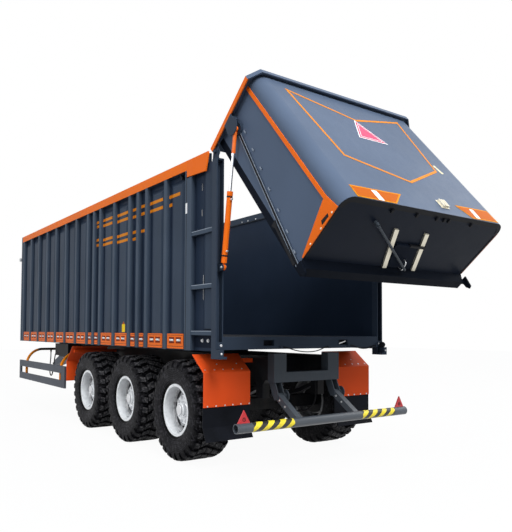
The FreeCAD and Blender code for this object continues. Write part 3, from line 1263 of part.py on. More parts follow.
def stage_span(k):
    """Front and rear end of stage k at rest: stage 0 is the fixed barrel."""
    rear = PUSH_FACE_Y + PUSH_PLATE
    return BARREL_FRONT - STAGE_STEP_FRONT * k, rear + STAGE_STEP_REAR * (STAGES - k)


def push_stage(k):
    front, rear = stage_span(k)
    radius = STAGE_RADII[k]
    stage = rod((0, front, PUSH_CYL_Z), (0, rear, PUSH_CYL_Z), radius)
    collar = rod((0, rear + STAGE_COLLAR, PUSH_CYL_Z), (0, rear, PUSH_CYL_Z), radius + STAGE_LIP)
    shape = stage if k == STAGES else join(stage, collar)
    if k < STAGES:
        inner = STAGE_RADII[k + 1] + STAGE_SLIDE
        shape = shape.cut(rod((0, front - STAGE_BLIND, PUSH_CYL_Z), (0, rear - 1.0, PUSH_CYL_Z), inner))
    if k == 0:
        base = box((-BASE_HALF, BASE_HALF), (BARREL_FRONT, BODY_LENGTH - FRONT_WALL),
                   (PUSH_CYL_Z - BASE_HALF, PUSH_CYL_Z + BASE_HALF))
        shape = join(shape, base)
    return shape


def air_tanks():
    """Air reservoirs across the chassis, strapped under two of its cross members."""
    made = []
    for k in TANK_BAYS:
        y = cross_member_y(k)
        pieces = [rod((-TANK_HALF, y, TANK_Z), (TANK_HALF, y, TANK_Z), TANK_RADIUS)]
        z = (TANK_Z + TANK_RADIUS / 2, CHASSIS_LOW + CROSS_INSET)
        for x in (-STRAP_X, STRAP_X):
            pieces.append(box((x - STRAP_WIDTH / 2, x + STRAP_WIDTH / 2),
                              (y - STRAP_DEPTH / 2, y + STRAP_DEPTH / 2), z))
        made.append(join(*pieces))
    return made


def wheel_names():
    return ["rear", "middle", "front"]


def build():
    """Every node's solids at rest, in the layout frame."""
    nodes = {}
    nodes["side_walls"] = pair(side_wall())
    nodes["tie_panels"] = [s for panel in tie_panels() for s in pair(panel)]
    nodes["top_rails"] = pair(top_rail())
    nodes["hinge_covers"] = pair(hinge_cover())
    nodes["rear_posts"] = pair(rear_post())
    nodes["rear_sill"] = [rear_sill()]
    nodes["body_floor"] = [body_floor()]
    nodes["front_wall"] = [front_wall()]
    nodes["chassis_frame"] = [chassis_frame()]
    nodes["rear_frame"] = [rear_frame()]
    nodes["drawbar"] = [drawbar()]
    nodes["towing_eye"] = [towing_eye()]
    tube, leg = jack()
    nodes["jack_tube"] = [tube]
    nodes["jack_leg"] = [leg]
    nodes["axles"] = [axle(y) for y in axle_positions()]
    nodes["spring_hangers"] = spring_hangers()
    hangers = hanger_positions()
    nodes["leaf_springs"] = [s for k, y in enumerate(axle_positions())
                             for s in pair(leaf_spring(y, hangers[k], hangers[k + 1]))]
    nodes["air_tanks"] = air_tanks()
    nodes["mudguards"] = pair(rear_mudguard()) + pair(front_mudguard())
    nodes["mud_flaps"] = pair(mud_flap())
    nodes["side_guards"] = pair(side_guard())
    brackets = (SIDE_GUARD_REAR + BRACKET_REAR, front_bracket_y())
    nodes["guard_brackets"] = [s for y in brackets for s in pair(guard_bracket(y))]
    nodes["valve_box"] = [valve_box()]
    nodes["sill_cable_left"] = [cord("sill_cable_left", SILL_CABLE_LEFT, CABLE_RADIUS)]
    nodes["sill_cable_right"] = [cord("sill_cable_right", SILL_CABLE_RIGHT, CABLE_RADIUS)]
    nodes["brake_hose"] = [cord("brake_hose", BRAKE_HOSE, BRAKE_HOSE_RADIUS)]
    nodes["valve_hose"] = [cord("valve_hose", VALVE_HOSE, VALVE_HOSE_RADIUS)]
    nodes["tail_shell"] = [opened(tail_shell())]
    nodes["tail_frame"] = [opened(tail_frame())]
    nodes["tail_roof"] = [opened(tail_roof())]
    nodes["tail_arms"] = [opened(s) for s in pair(tail_arm())]
    nodes["tail_side_ribs"] = [opened(s) for s in pair(side_rib())]
    nodes["tail_gussets"] = [opened(s) for s in pair(gusset())]
    guides, hatch, lever = hatch_parts()
    nodes["hatch_guides"] = [opened(s) for s in guides]
    nodes["grain_hatch"] = [opened(hatch)]
    nodes["hatch_lever"] = [opened(lever)]
    barrel, piston = tail_cylinder()
    nodes["tail_barrel_right"] = [barrel]
    nodes["tail_barrel_left"] = [mirrored(barrel)]
    nodes["tail_rod_right"] = [piston]
    nodes["tail_rod_left"] = [mirrored(piston)]
    nodes["bumper_bar"] = [bumper_bar()]
    nodes["bumper_reflectors"] = reflectors()
    nodes["push_wall"] = [push_wall()]
    nodes["push_barrel"] = [push_stage(0)]
    for k in range(1, STAGES):
        nodes[f"push_stage_{k}"] = [push_stage(k)]
    nodes["push_rod"] = [push_stage(STAGES)]
    for name, y in zip(wheel_names(), axle_positions()):
        for side, place in (("right", lambda s: s), ("left", mirrored)):
            nodes[f"tyre_{name}_{side}"] = [place(tyre(y))]
            nodes[f"rim_{name}_{side}"] = [place(rim(y))]
    return nodes


def origin_shift(nodes):
    """The move that puts the origin at the centre of the base of the whole part's box."""
    whole = FreeCAD.BoundBox()
    for solids in nodes.values():
        for solid in solids:
            whole.add(solid.optimalBoundingBox(False, False))
    return Vec(0, -(whole.YMin + whole.YMax) / 2, -whole.ZMin)


NODES = build()
SHIFT = origin_shift(NODES)
os.makedirs("parts", exist_ok=True)
for name, solids in NODES.items():
    for solid in solids:
        solid.translate(SHIFT)
    shape = solids[0] if len(solids) == 1 else Part.makeCompound(solids)
    shape.exportStep(f"parts/{name}.step")
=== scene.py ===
import json
import math

import bmesh
import bpy
from mathutils import Matrix, Vector


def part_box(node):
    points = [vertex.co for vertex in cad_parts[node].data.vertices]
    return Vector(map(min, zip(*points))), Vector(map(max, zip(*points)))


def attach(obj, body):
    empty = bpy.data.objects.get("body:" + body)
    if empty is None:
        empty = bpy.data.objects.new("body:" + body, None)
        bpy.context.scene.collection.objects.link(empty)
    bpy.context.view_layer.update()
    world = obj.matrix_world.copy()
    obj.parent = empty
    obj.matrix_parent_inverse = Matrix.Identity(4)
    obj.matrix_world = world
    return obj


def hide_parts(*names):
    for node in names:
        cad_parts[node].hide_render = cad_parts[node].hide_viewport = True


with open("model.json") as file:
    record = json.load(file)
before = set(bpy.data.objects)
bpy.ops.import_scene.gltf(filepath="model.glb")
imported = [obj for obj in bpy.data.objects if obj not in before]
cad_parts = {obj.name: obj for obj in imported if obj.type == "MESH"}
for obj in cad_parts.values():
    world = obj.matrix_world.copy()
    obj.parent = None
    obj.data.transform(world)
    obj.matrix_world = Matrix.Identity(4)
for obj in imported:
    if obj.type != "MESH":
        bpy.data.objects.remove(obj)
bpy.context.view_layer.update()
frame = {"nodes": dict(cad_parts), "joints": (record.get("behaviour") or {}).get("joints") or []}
JOINTS = {joint["name"]: joint for joint in frame["joints"]}
SIDES = (-1.0, 1.0)

# The layout frame has Y = 0 at the body's rear plane; the floor starts behind the rear sill.
SILL_DEPTH = 0.110
REAR_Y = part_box("body_floor")[0].y - SILL_DEPTH

# The tailgate's pieces are laid out closed, then turned to where it stands open.
PIVOT = Vector(JOINTS["tailgate_swing"]["pos_m"])
OPEN = math.radians(-JOINTS["tailgate_swing"]["range_deg"][0])
TAIL = Matrix.Translation(PIVOT) @ Matrix.Rotation(-OPEN, 4, "X") @ Matrix.Translation(-PIVOT)
TAIL_HALF = 1.158
TAIL_REAR = -0.800
TAIL_BOTTOM = 1.576


def at(x, y, z):
    """A point of the layout, in the model's own frame."""
    return Vector((x, y + REAR_Y, z))


def about(middle, half):
    """A span that reaches a half width to both sides of its middle."""
    return middle - half, middle + half


def oblong(first, second):
    """The corners of a rectangle, from its spans in two directions."""
    return [(first[0], second[0]), (first[1], second[0]), (first[1], second[1]), (first[0], second[1])]


def linked(name, data):
    made = bpy.data.objects.new(name, data)
    bpy.context.scene.collection.objects.link(made)
    return made


# Camera: its place and angles, then the focal length and the level line, in rows of the picture
CAMERA_PLACE = at(-4.577, -5.266, 1.519)
CAMERA_YAW = math.radians(35.978)
CAMERA_PITCH = math.radians(2.211)
CAMERA_ROLL = math.radians(0.234)
PICTURE_ROWS = 532
FOCAL_ROWS = 591.69
LEVEL_ROW = 308.31
SENSOR = 36.0
SIGHT = 200.0


def make_camera():
    camera = bpy.data.cameras.new("camera")
    camera.sensor_width = SENSOR
    camera.sensor_fit = "AUTO"
    camera.lens = FOCAL_ROWS / PICTURE_ROWS * SENSOR
    camera.shift_y = (LEVEL_ROW - PICTURE_ROWS / 2) / PICTURE_ROWS
    camera.clip_end = SIGHT
    holder = linked("camera", camera)
    turn = Matrix.Rotation(-CAMERA_YAW, 4, "Z") @ Matrix.Rotation(math.pi / 2 + CAMERA_PITCH, 4, "X")
    holder.matrix_world = Matrix.Translation(CAMERA_PLACE) @ turn @ Matrix.Rotation(CAMERA_ROLL, 4, "Z")
    bpy.context.scene.camera = holder


def operation(kind, swapped=False):
    """A Math node's operation as an operator on shader values."""
    def method(self, other=0.0):
        first, second = (other, self) if swapped else (self, other)
        return self.tree.maths(kind, first, second)
    return method


class Socket:
    """A shader value whose arithmetic adds Math nodes to its tree."""

    def __init__(self, tree, out):
        self.tree = tree
        self.out = out

    __add__ = __radd__ = operation("ADD")
    __mul__ = __rmul__ = operation("MULTIPLY")
    __sub__ = operation("SUBTRACT")
    __rsub__ = operation("SUBTRACT", swapped=True)
    __truediv__ = operation("DIVIDE")
    __rtruediv__ = operation("DIVIDE", swapped=True)
    __gt__ = operation("GREATER_THAN")
    __lt__ = operation("LESS_THAN")
    __abs__ = operation("ABSOLUTE")


class Tree:
    """Nodes of a material or of the sky, the place that they read, and the few ways they are made."""

    def __init__(self, tree, places):
        self.nodes = tree.nodes
        self.links = tree.links
        self.place = self.node("ShaderNodeTexCoord", output=places)

    def node(self, kind, settings=None, inputs=None, output=0):
        made = self.nodes.new(kind)
        for key, value in (settings or {}).items():
            setattr(made, key, value)
        for key, value in (inputs or {}).items():
            self.put(made.inputs[key], value)
        return Socket(self, made.outputs[output])

    def put(self, target, value):
        if isinstance(value, Socket):
            self.links.new(value.out, target)
        else:
            target.default_value = value

    def maths(self, operation, first, second=0.0):
        return self.node("ShaderNodeMath", {"operation": operation}, {0: first, 1: second})

    def axis(self, index):
        return self.node("ShaderNodeSeparateXYZ", inputs={0: self.place}, output=index)

    def between(self, value, low, high, start=0.0, end=1.0):
        """From start to end while the value goes from low to high."""
        inputs = {0: value, 1: low, 2: high, 3: start, 4: end}
        return self.node("ShaderNodeMapRange", {"clamp": True}, inputs)

    def plain_rays(self):
        """A mask of the rays from the eye, off gloss and through glass, which meet plain white."""
        return (self.node("ShaderNodeLightPath", output="Is Camera Ray")
                + self.node("ShaderNodeLightPath", output="Is Glossy Ray")
                + self.node("ShaderNodeLightPath", output="Is Transmission Ray"))


MATERIAL = {}


class Shader(Tree):
    """A named material, kept in MATERIAL."""

    def __init__(self, name):
        self.material = bpy.data.materials.new(name)
        self.material.use_nodes = True
        super().__init__(self.material.node_tree, "Object")
        self.surface = self.nodes["Principled BSDF"]
        MATERIAL[name] = self.material

    def set(self, **values):
        for key, value in values.items():
            self.put(self.surface.inputs[key.replace("_", " ")], value)

    def noise(self, scale, detail=3.0, stretch=None):
        place = self.place
        if stretch:
            place = self.node("ShaderNodeMapping", inputs={"Vector": place, "Scale": stretch})
        return self.node("ShaderNodeTexNoise", inputs={"Vector": place, "Scale": scale, "Detail": detail})

    def mixed(self, factor, first, second):
        return self.node("ShaderNodeMix", {"data_type": "RGBA"}, {0: factor, 6: first, 7: second}, 2)

    def bump(self, height, strength, distance):
        inputs = {"Strength": strength, "Distance": distance, "Height": height}
        return self.node("ShaderNodeBump", inputs=inputs)


def tint(colour, factor=1.0):
    return tuple(channel * factor for channel in colour) + (1.0,)


DUST = (0.20, 0.17, 0.13)
ANTHRACITE = (0.032, 0.046, 0.071)
FRAME_GREY = (0.056, 0.067, 0.082)
ORANGE = (0.84, 0.150, 0.008)
# A near-black blue, also used as painted shade
DARK_AND_SHADE_COLOUR = (0.010, 0.0145, 0.026)


def peel(shader):
    """The fine uneven skin of sprayed paint."""
    return shader.bump(shader.noise(420.0, 1.0), 0.06, 0.0006)


def paint(name, colour, roughness=0.36, coat=0.03, dust=0.04, shade=0.82, under=None, mask=None,
          gloss=0.05):
    """Sprayed paint: a fine peel, slow changes of depth, streaks, and dust towards the ground.

    A mask, a function of the shader, says where the paint lies over a second colour; on the walls, the
    bracket pipes and the tailgate's bottom that second colour is painted shade.
    """
    shader = Shader(name)
    slow = shader.between(shader.noise(1.3), 0.3, 0.7)
    streaks = shader.noise(1.0, 4.0, (9.0, 9.0, 0.7))
    fine = shader.noise(60.0, 2.0)
    low = shader.between(shader.axis(2), 0.2, 1.7, 1.0, 0.15)
    dusty = shader.between(streaks * 0.7 + fine * 0.3, 0.42, 0.75) * low * dust
    base = shader.mixed(slow, tint(colour, shade), tint(colour))
    if mask:
        below = shader.mixed(slow, tint(under, shade), tint(under))
        base = shader.mixed(mask(shader), below, base)
    rough = shader.between(fine * 0.5 + streaks * 0.5, 0.3, 0.7, roughness - 0.06, roughness + 0.10)
    shader.set(Base_Color=shader.mixed(dusty, base, tint(DUST)), Roughness=rough, Coat_Weight=coat,
               Coat_Roughness=0.15, Specular_IOR_Level=gloss, Normal=peel(shader))


def outside_of(distance):
    """A mask for the skin further than a distance from the middle plane."""
    return lambda shader: abs(shader.axis(0)) > distance


def rib_highlight_recess_shade(low, high):
    """A mask that rises with the distance from the middle plane: the ribs are painted paler as highlight,
    the recesses darker as painted shade.
    """
    return lambda shader: shader.between(abs(shader.axis(0)), low, high)


def above_tail_bottom(shader):
    """A mask for all of the tailgate but its bottom sheet, which takes a near-black colour as painted
    shade.
    """
    run = shader.axis(1) * math.sin(OPEN) + shader.axis(2) * math.cos(OPEN)
    level = PIVOT.y * math.sin(OPEN) + PIVOT.z * math.cos(OPEN) + TAIL_BOTTOM - PIVOT.z
    return run > level + 0.004


def bare_metal(name, colour, roughness, brushed=0.0):
    """Plated or bright metal, with fine scratches where it is brushed."""
    shader = Shader(name)
    grain = shader.noise(1.0, 4.0, (200.0, 12.0, 200.0))
    cloud = shader.noise(9.0)
    shader.set(Base_Color=shader.mixed(cloud, tint(colour, 0.8), tint(colour)), Metallic=1.0,
               Roughness=shader.between(grain, 0.3, 0.7, roughness, roughness + 0.12 + brushed),
               Normal=shader.bump(grain, 0.04 + brushed, 0.0004))


def sleeved_rod(name, low, high, length):
    """Chrome rod with a painted sleeve on its top end, told apart along the rod."""
    shader = Shader(name)
    along = (high - low).normalized()
    run = shader.axis(1) * along.y + shader.axis(2) * along.z
    sleeve = run > (high.y * along.y + high.z * along.z - length)
    cloud = shader.noise(9.0)
    steel = shader.mixed(cloud, tint((0.72, 0.75, 0.80)), tint((0.90, 0.92, 0.96)))
    red = shader.mixed(cloud, tint(ORANGE, 0.8), tint(ORANGE))
    shader.set(Base_Color=shader.mixed(sleeve, steel, red), Metallic=1.0 - sleeve,
               Roughness=sleeve * 0.28 + shader.between(cloud, 0.3, 0.7, 0.08, 0.16))


# The tyre's rubber by its distance from the axle: the bead, where a near-black ring towards the rim is
# painted shadow, the end of the fine rings on the side, and the tops of the tread, lighter from wear and
# painted highlight, which end at the shoulder across
BEAD_SHADOW_EDGE = (0.326, 0.334)
RINGS_END = (0.51, 0.49)
TREAD_TOP = (0.574, 0.588)
SHOULDER_END = (0.262, 0.255)


def tyre_rubber(name):
    """Black rubber: tread tops lighter from wear and painted highlight, dark grooves, painted shadow at the
    bead, a matt bloom and a fine grain.
    """
    shader = Shader(name)
    bloom = shader.between(shader.noise(5.0, 5.0), 0.35, 0.7)
    grit = shader.between(shader.noise(34.0, 6.0), 0.47, 0.66)
    along = shader.axis(1)
    up = shader.axis(2)
    away = shader.maths("SQRT", along * along + up * up)
    # Tread tops lighter from wear and painted highlight
    wear_and_highlight = shader.between(away, *TREAD_TOP) * shader.between(abs(shader.axis(0)), *SHOULDER_END)
    rings = shader.between(shader.maths("SINE", away * 300.0), 0.55, 1.0) * shader.between(away, *RINGS_END)
    grey = shader.between(grit + rings, 0.2, 1.6)
    side = shader.mixed(grey, tint((0.0030, 0.0030, 0.0040)), tint((0.048, 0.046, 0.053)))
    tread = shader.mixed(grit, tint((0.030, 0.030, 0.033)), tint((0.130, 0.124, 0.128)))
    # Near-black ring by the bead: painted shadow where the tyre meets the rim
    side = shader.mixed(shader.between(away, *BEAD_SHADOW_EDGE), tint((0.002, 0.002, 0.002)), side)
    shader.set(Base_Color=shader.mixed(wear_and_highlight, side, tread), Specular_IOR_Level=0.04,
               Roughness=shader.between(bloom + wear_and_highlight, 0.0, 2.0, 0.40, 0.66),
               Normal=shader.bump(shader.noise(160.0, 3.0), 0.25, 0.0012))


def soft_rubber(name, colour):
    shader = Shader(name)
    cloud = shader.between(shader.noise(4.0, 5.0), 0.3, 0.7)
    shader.set(Base_Color=shader.mixed(cloud, tint(colour, 0.7), tint(colour, 1.5)),
               Roughness=shader.between(cloud, 0.0, 1.0, 0.42, 0.62), Specular_IOR_Level=0.05,
               Normal=shader.bump(shader.noise(260.0, 2.0), 0.15, 0.0008))


# The faces of the wheels' discs lie between these distances from the middle plane
DISC_EDGE = (1.126, 1.112)


def silver_paint(name):
    """Aluminium-flake wheel paint, darker on the disc's faces as painted shade, with dirt that gathers
    there.
    """
    shader = Shader(name)
    flake = shader.noise(900.0, 1.0)
    disc = shader.between(abs(shader.axis(0)), *DISC_EDGE)
    dirt = shader.between(shader.noise(22.0, 6.0), 0.48, 0.62) * (0.12 + disc * 0.70)
    base = shader.mixed(flake, tint((0.86, 0.87, 0.88)), tint((0.95, 0.96, 0.97)))
    # The disc's faces inside the rim are painted darker as shade
    base = shader.mixed(disc * 0.80, base, tint((0.15, 0.15, 0.16)))
    shader.set(Base_Color=shader.mixed(dirt, base, tint((0.07, 0.07, 0.08))), Metallic=0.1,
               Roughness=shader.between(flake, 0.3, 0.7, 0.34, 0.46), Coat_Weight=0.3)


def reflector(name, colour):
    """Moulded reflector: a cell pattern under a clear face."""
    shader = Shader(name)
    inputs = {"Vector": shader.place, "Scale": 260.0}
    cells = shader.node("ShaderNodeTexVoronoi", {"feature": "F1"}, inputs)
    face = shader.mixed(shader.between(cells, 0.0, 0.8), tint(colour, 1.3), tint(colour, 0.6))
    shader.set(Base_Color=face, Roughness=0.3, Coat_Weight=0.25, Normal=shader.bump(cells, 0.3, 0.0008))


# Hazard bands on the bumper's tube: their spans across, the length of a pair, their lean for each metre up,
# and where the pairs start
HAZARD_LEFT = (-1.073, -0.536)
HAZARD_RIGHT = (0.489, 1.042)
HAZARD_PITCH = 0.155
HAZARD_LEAN = 1.25
HAZARD_START = 10.35


def bumper_paint(name):
    """Frame paint with yellow and black bands printed round two lengths of the tube."""
    shader = Shader(name)
    across = shader.axis(0)
    cloud = shader.between(shader.noise(3.0, 4.0), 0.3, 0.7)
    run = across - shader.axis(2) * HAZARD_LEAN
    band = shader.maths("FRACT", run / HAZARD_PITCH + HAZARD_START) < 0.50
    marked = shader.mixed(band, tint((0.012, 0.012, 0.012)), tint((0.90, 0.72, 0.03)))
    plain = shader.mixed(cloud, tint(FRAME_GREY, 0.85), tint(FRAME_GREY, 1.1))
    left = (across > HAZARD_LEFT[0]) * (across < HAZARD_LEFT[1])
    right = (across > HAZARD_RIGHT[0]) * (across < HAZARD_RIGHT[1])
    shader.set(Base_Color=shader.mixed(left + right, plain, marked), Coat_Weight=0.2,
               Roughness=shader.between(cloud, 0.0, 1.0, 0.36, 0.5), Normal=peel(shader))


# Distances from the middle plane at which a two-colour piece changes its paint; on the bracket pipes and
# the walls the change is painted shade
BRACKET_SHADE_EDGE = 1.0
WALL_SHADE_DEPTHS = (1.216, 1.272)
RAIL_COVER = 1.258
RAIL_SKIN = 1.268

paint("anthracite", ANTHRACITE)
# Side walls: ribs painted lighter as highlight, recesses darker as painted shade, graded by the distance
# from the middle plane
paint("wall_paint", (0.064, 0.086, 0.120), dust=0.015, under=(0.020, 0.031, 0.054),
      mask=rib_highlight_recess_shade(*WALL_SHADE_DEPTHS), gloss=0.02)
paint("guard_grey", (0.095, 0.104, 0.125), 0.45, 0.0)
# Bracket pipes: orange outside, their inner run painted dark brown as painted shadow
paint("pipe_orange", (0.90, 0.27, 0.008), 0.42, 0.0, 0.05, 0.9, (0.035, 0.012, 0.006),
      outside_of(BRACKET_SHADE_EDGE))
# Dark red, painted shade round the tie-down slots
paint("slot_shade_red", (0.20, 0.022, 0.006), 0.5, 0.0, 0.05)
# Tailgate paint, its bottom sheet darkened as painted shade
paint("tail_paint", (0.084, 0.114, 0.172), 0.36, 0.02, 0.01, 0.88, DARK_AND_SHADE_COLOUR, above_tail_bottom)
# Near-black blue: the grain hatch, darkened with the tailgate's bottom as painted shade, and a plate of
# painted shade over the rear bay's recess
paint("dark_paint_and_shade", DARK_AND_SHADE_COLOUR, 0.45, 0.0, 0.01, gloss=0.02)
paint("beam_paint", (0.0055, 0.0080, 0.0140), 0.45, 0.0, 0.005, gloss=0.02)
# Pale grey trim, also used as painted highlight on edges
paint("pale_trim_and_highlight", (0.24, 0.28, 0.34), 0.4, 0.2)
paint("floor", (0.040, 0.044, 0.052), 0.5, 0.0, 0.5)
paint("orange", ORANGE, 0.42, 0.0, 0.02, 0.9, gloss=0.1)
paint("guard_red", (0.80, 0.085, 0.014), 0.44, 0.0, 0.03, 0.88, gloss=0.1)
paint("rail_paint", (0.86, 0.16, 0.004), 0.42, 0.0, 0.02, 0.9, ANTHRACITE, outside_of(RAIL_SKIN), 0.08)
paint("cover_paint", ORANGE, 0.42, 0.0, 0.02, 0.9, ANTHRACITE, outside_of(RAIL_COVER), 0.08)
# Black paint; on the chassis under the body and on several dark marks it is also painted shade
paint("black_paint", (0.010, 0.011, 0.014), 0.5, 0.1, 0.15)
paint("frame_paint", FRAME_GREY, 0.42, 0.15, 0.12)
paint("line_orange", (0.62, 0.20, 0.008), 0.45, 0.0, 0.02, 0.92, gloss=0.08)
paint("line_red", (0.44, 0.092, 0.001), 0.45, 0.0, 0.0, 0.92, gloss=0.04)
paint("white_line", (0.80, 0.80, 0.80), 0.45, 0.0, 0.05, 0.95)
paint("pink", (0.60, 0.075, 0.15), 0.4, 0.02, 0.02, 0.95)
paint("yellow", (0.88, 0.60, 0.02), 0.45, 0.0, 0.04, 0.95)
paint("board_edge", (0.58, 0.21, 0.002), 0.45, 0.0, 0.0, 0.95, gloss=0.04)
paint("cream", (0.66, 0.60, 0.42), 0.4, 0.0, 0.1)
silver_paint("silver")
bare_metal("zinc", (0.72, 0.73, 0.75), 0.30, 0.1)
bare_metal("chrome", (0.86, 0.88, 0.92), 0.08)
bare_metal("galvanised", (0.78, 0.74, 0.62), 0.42, 0.1)
tyre_rubber("tyre")
soft_rubber("rubber", (0.006, 0.007, 0.010))
soft_rubber("hose", (0.004, 0.004, 0.005))
reflector("red", (0.60, 0.012, 0.02))
reflector("lamp_glass", (0.40, 0.42, 0.44))
bumper_paint("bumper_paint")

NODE_MATERIALS = (
    ("wall_paint", ("side_walls",)),
    ("guard_grey", ("side_guards",)),
    ("pipe_orange", ("guard_brackets",)),
    ("anthracite", ("rear_posts", "rear_sill", "front_wall", "drawbar", "jack_tube", "tail_side_ribs")),
    ("tail_paint", ("tail_shell", "tail_roof")),
    ("beam_paint", ("tail_frame",)),
    ("frame_paint", ("rear_frame", "push_wall", "hatch_lever")),
    ("dark_paint_and_shade", ("grain_hatch",)),
    ("bumper_paint", ("bumper_bar",)),
    ("orange", ("tie_panels", "tail_arms", "tail_gussets", "tail_barrel_left", "tail_barrel_right")),
    ("guard_red", ("mudguards",)),
    ("rail_paint", ("top_rails",)),
    ("cover_paint", ("hinge_covers",)),
    ("floor", ("body_floor",)),
    # Near-black on the chassis under the body: partly its black paint, partly painted shade
    ("black_paint", ("axles", "leaf_springs", "air_tanks", "push_barrel", "towing_eye", "chassis_frame",
                     "spring_hangers", "valve_box")),
    ("chrome", ("push_rod", "push_stage_1", "push_stage_2", "push_stage_3")),
    ("galvanised", ("hatch_guides",)),
    ("zinc", ("jack_leg",)),
    ("rubber", ("mud_flaps",)),
    ("red", ("bumper_reflectors",)),
)

# The tail cylinders' ends in the layout, as (along, height): the lower eye, and the upper eye with the
# tailgate closed; the sleeve's length on the rod; the cylinders' distance from the middle plane
LOW_EYE = (-0.040, 2.190)
UPPER_EYE = (-0.258, 3.330)
SLEEVE = 0.250
CYLINDER_X = 1.207


def tail_point(x, y, z):
    """A point of the closed tailgate's layout, where the open tailgate holds it."""
    return TAIL @ at(x, y, z)


def dress(node, material):
    node.data.materials.clear()
    node.data.materials.append(MATERIAL[material])


def dress_nodes():
    nodes = frame["nodes"]
    for material, names in NODE_MATERIALS:
        for name in names:
            dress(nodes[name], material)
    for name, node in nodes.items():
        if name.startswith("rim_"):
            dress(node, "silver")
        if name.startswith("tyre_"):
            dress(node, "tyre")
    sleeved_rod("sleeved_rod", at(0, *LOW_EYE), tail_point(0, *UPPER_EYE), SLEEVE)
    for side in ("left", "right"):
        dress(nodes[f"tail_rod_{side}"], "sleeved_rod")


def riding(made, body):
    """Puts a piece on its body; the tailgate's are laid out closed and turn open here."""
    if body == "tailgate":
        made.data.transform(TAIL)
    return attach(made, body)


def piece(name, mesh, material, body, matrix=None):
    """A mesh as a named piece that rides a body."""
    made = linked(name, mesh)
    if not mesh.materials:
        mesh.materials.append(MATERIAL[material])
    if matrix is not None:
        made.matrix_world = matrix
    return riding(made, body)


def spokes(axis, count):
    """The axis at length one, and that many directions square to it, evenly round it."""
    axis = Vector(axis).normalized()
    across = axis.orthogonal().normalized()
    up = axis.cross(across)
    angles = [2 * math.pi * k / count for k in range(count)]
    return axis, [across * math.cos(angle) + up * math.sin(angle) for angle in angles]


def round_axle(along, radius, angle):
    """A point of a wheel, from its middle."""
    return along, radius * math.cos(angle), radius * math.sin(angle)


class Builder:
    """Collects simple solids in one mesh."""

    def __init__(self):
        self.points = []
        self.faces = []

    def add(self, points, faces):
        start = len(self.points)
        self.points += [Vector(point) for point in points]
        self.faces += [[start + index for index in face] for face in faces]

    def prism(self, outline, depth):
        """A flat outline of points in space, thickened by the depth vector."""
        count = len(outline)
        top = [Vector(point) + Vector(depth) for point in outline]
        sides = [[k, (k + 1) % count, count + (k + 1) % count, count + k] for k in range(count)]
        self.add(list(outline) + top, [list(range(count))[::-1], list(range(count, 2 * count))] + sides)

    def slab(self, x, y, z, side=1.0):
        """A block between two places on each axis of the layout, mirrored by the side."""
        across = sorted((side * x[0], side * x[1]))
        self.prism([at(*corner, z[0]) for corner in oblong(across, y)], (0, 0, z[1] - z[0]))

    def disc(self, centre, axis, radius, depth, sides=16):
        """A round or polygonal boss that stands along the axis."""
        axis, out = spokes(axis, sides)
        self.prism([Vector(centre) + spoke * radius for spoke in out], axis * depth)

    def bolt(self, centre, axis, size):
        """Washer, hexagon head and the rounded end above it."""
        centre = Vector(centre)
        axis = Vector(axis).normalized()
        self.disc(centre, axis, size, size * 0.18)
        self.disc(centre + axis * size * 0.18, axis, size * 0.80, size * 0.45, 6)
        self.disc(centre + axis * size * 0.63, axis, size * 0.45, size * 0.22, 10)

    def lathe(self, profile, centre, axis, sides, closed=False):
        """A profile of (along, radius) points, revolved about the axis."""
        centre = Vector(centre)
        axis, out = spokes(axis, sides)
        points = [centre + axis * along + spoke * radius for spoke in out for along, radius in profile]
        count = len(profile)
        faces = []
        for k in range(sides):
            here = k * count
            beyond = (k + 1) % sides * count
            for n in range(count if closed else count - 1):
                after = (n + 1) % count
                faces.append([here + n, here + after, beyond + after, beyond + n])
        self.add(points, faces)

    def mesh(self, name):
        made = bpy.data.meshes.new(name)
        made.from_pydata(self.points, [], self.faces)
        work = bmesh.new()
        work.from_mesh(made)
        bmesh.ops.recalc_face_normals(work, faces=work.faces)
        work.to_mesh(made)
        work.free()
        return made

    def piece(self, name, material, body="chassis"):
        """All the solids so far, as one named piece."""
        return piece(name, self.mesh(name), material, body)


def tube(name, points, radius, material, body):
    """A pipe or cable along one smooth line."""
    curve = bpy.data.curves.new(name, "CURVE")
    curve.dimensions = "3D"
    curve.bevel_depth = 1.0
    curve.bevel_resolution = 3
    line = curve.splines.new("NURBS")
    line.points.add(len(points) - 1)
    for point, target in zip(line.points, points):
        point.co = (*target, 1.0)
        point.radius = radius
    line.order_u = 3
    line.use_endpoint_u = True
    curve.materials.append(MATERIAL[material])
    return riding(linked(name, curve), body)


# Tyres: the carcass's outline as (across from the tyre's middle, radius)
CARCASS = ((0.200, 0.300), (0.205, 0.309), (0.222, 0.316), (0.236, 0.336), (0.2405, 0.350),
           (0.2425, 0.352), (0.2440, 0.372), (0.2475, 0.400), (0.2495, 0.440), (0.2490, 0.470),
           (0.2500, 0.476), (0.2480, 0.484), (0.2420, 0.512), (0.2330, 0.535), (0.2180, 0.552),
           (0.1900, 0.560), (0.1000, 0.564), (0.0, 0.565))
# Lugs as sections of (across, top radius, foot radius), repeated this many times round the tyre
TREAD_PITCHES = 27
SHOULDER = ((0.158, 0.591, 0.560), (0.190, 0.590, 0.558), (0.216, 0.583, 0.552), (0.240, 0.560, 0.535),
            (0.2485, 0.525, 0.515), (0.2495, 0.498, 0.492))
MIDDLE = ((0.056, 0.592, 0.562), (0.100, 0.592, 0.562), (0.142, 0.591, 0.560))
CENTRE = ((-0.042, 0.592, 0.562), (0.0, 0.592, 0.562), (0.042, 0.592, 0.562))
# A lug's sides lean in by this angle; its slant is in radians for each metre across
LUG_LEAN = 0.010
SHOULDER_SLANT = 0.35
MIDDLE_SLANT = -0.9
CENTRE_SLANT = 0.9


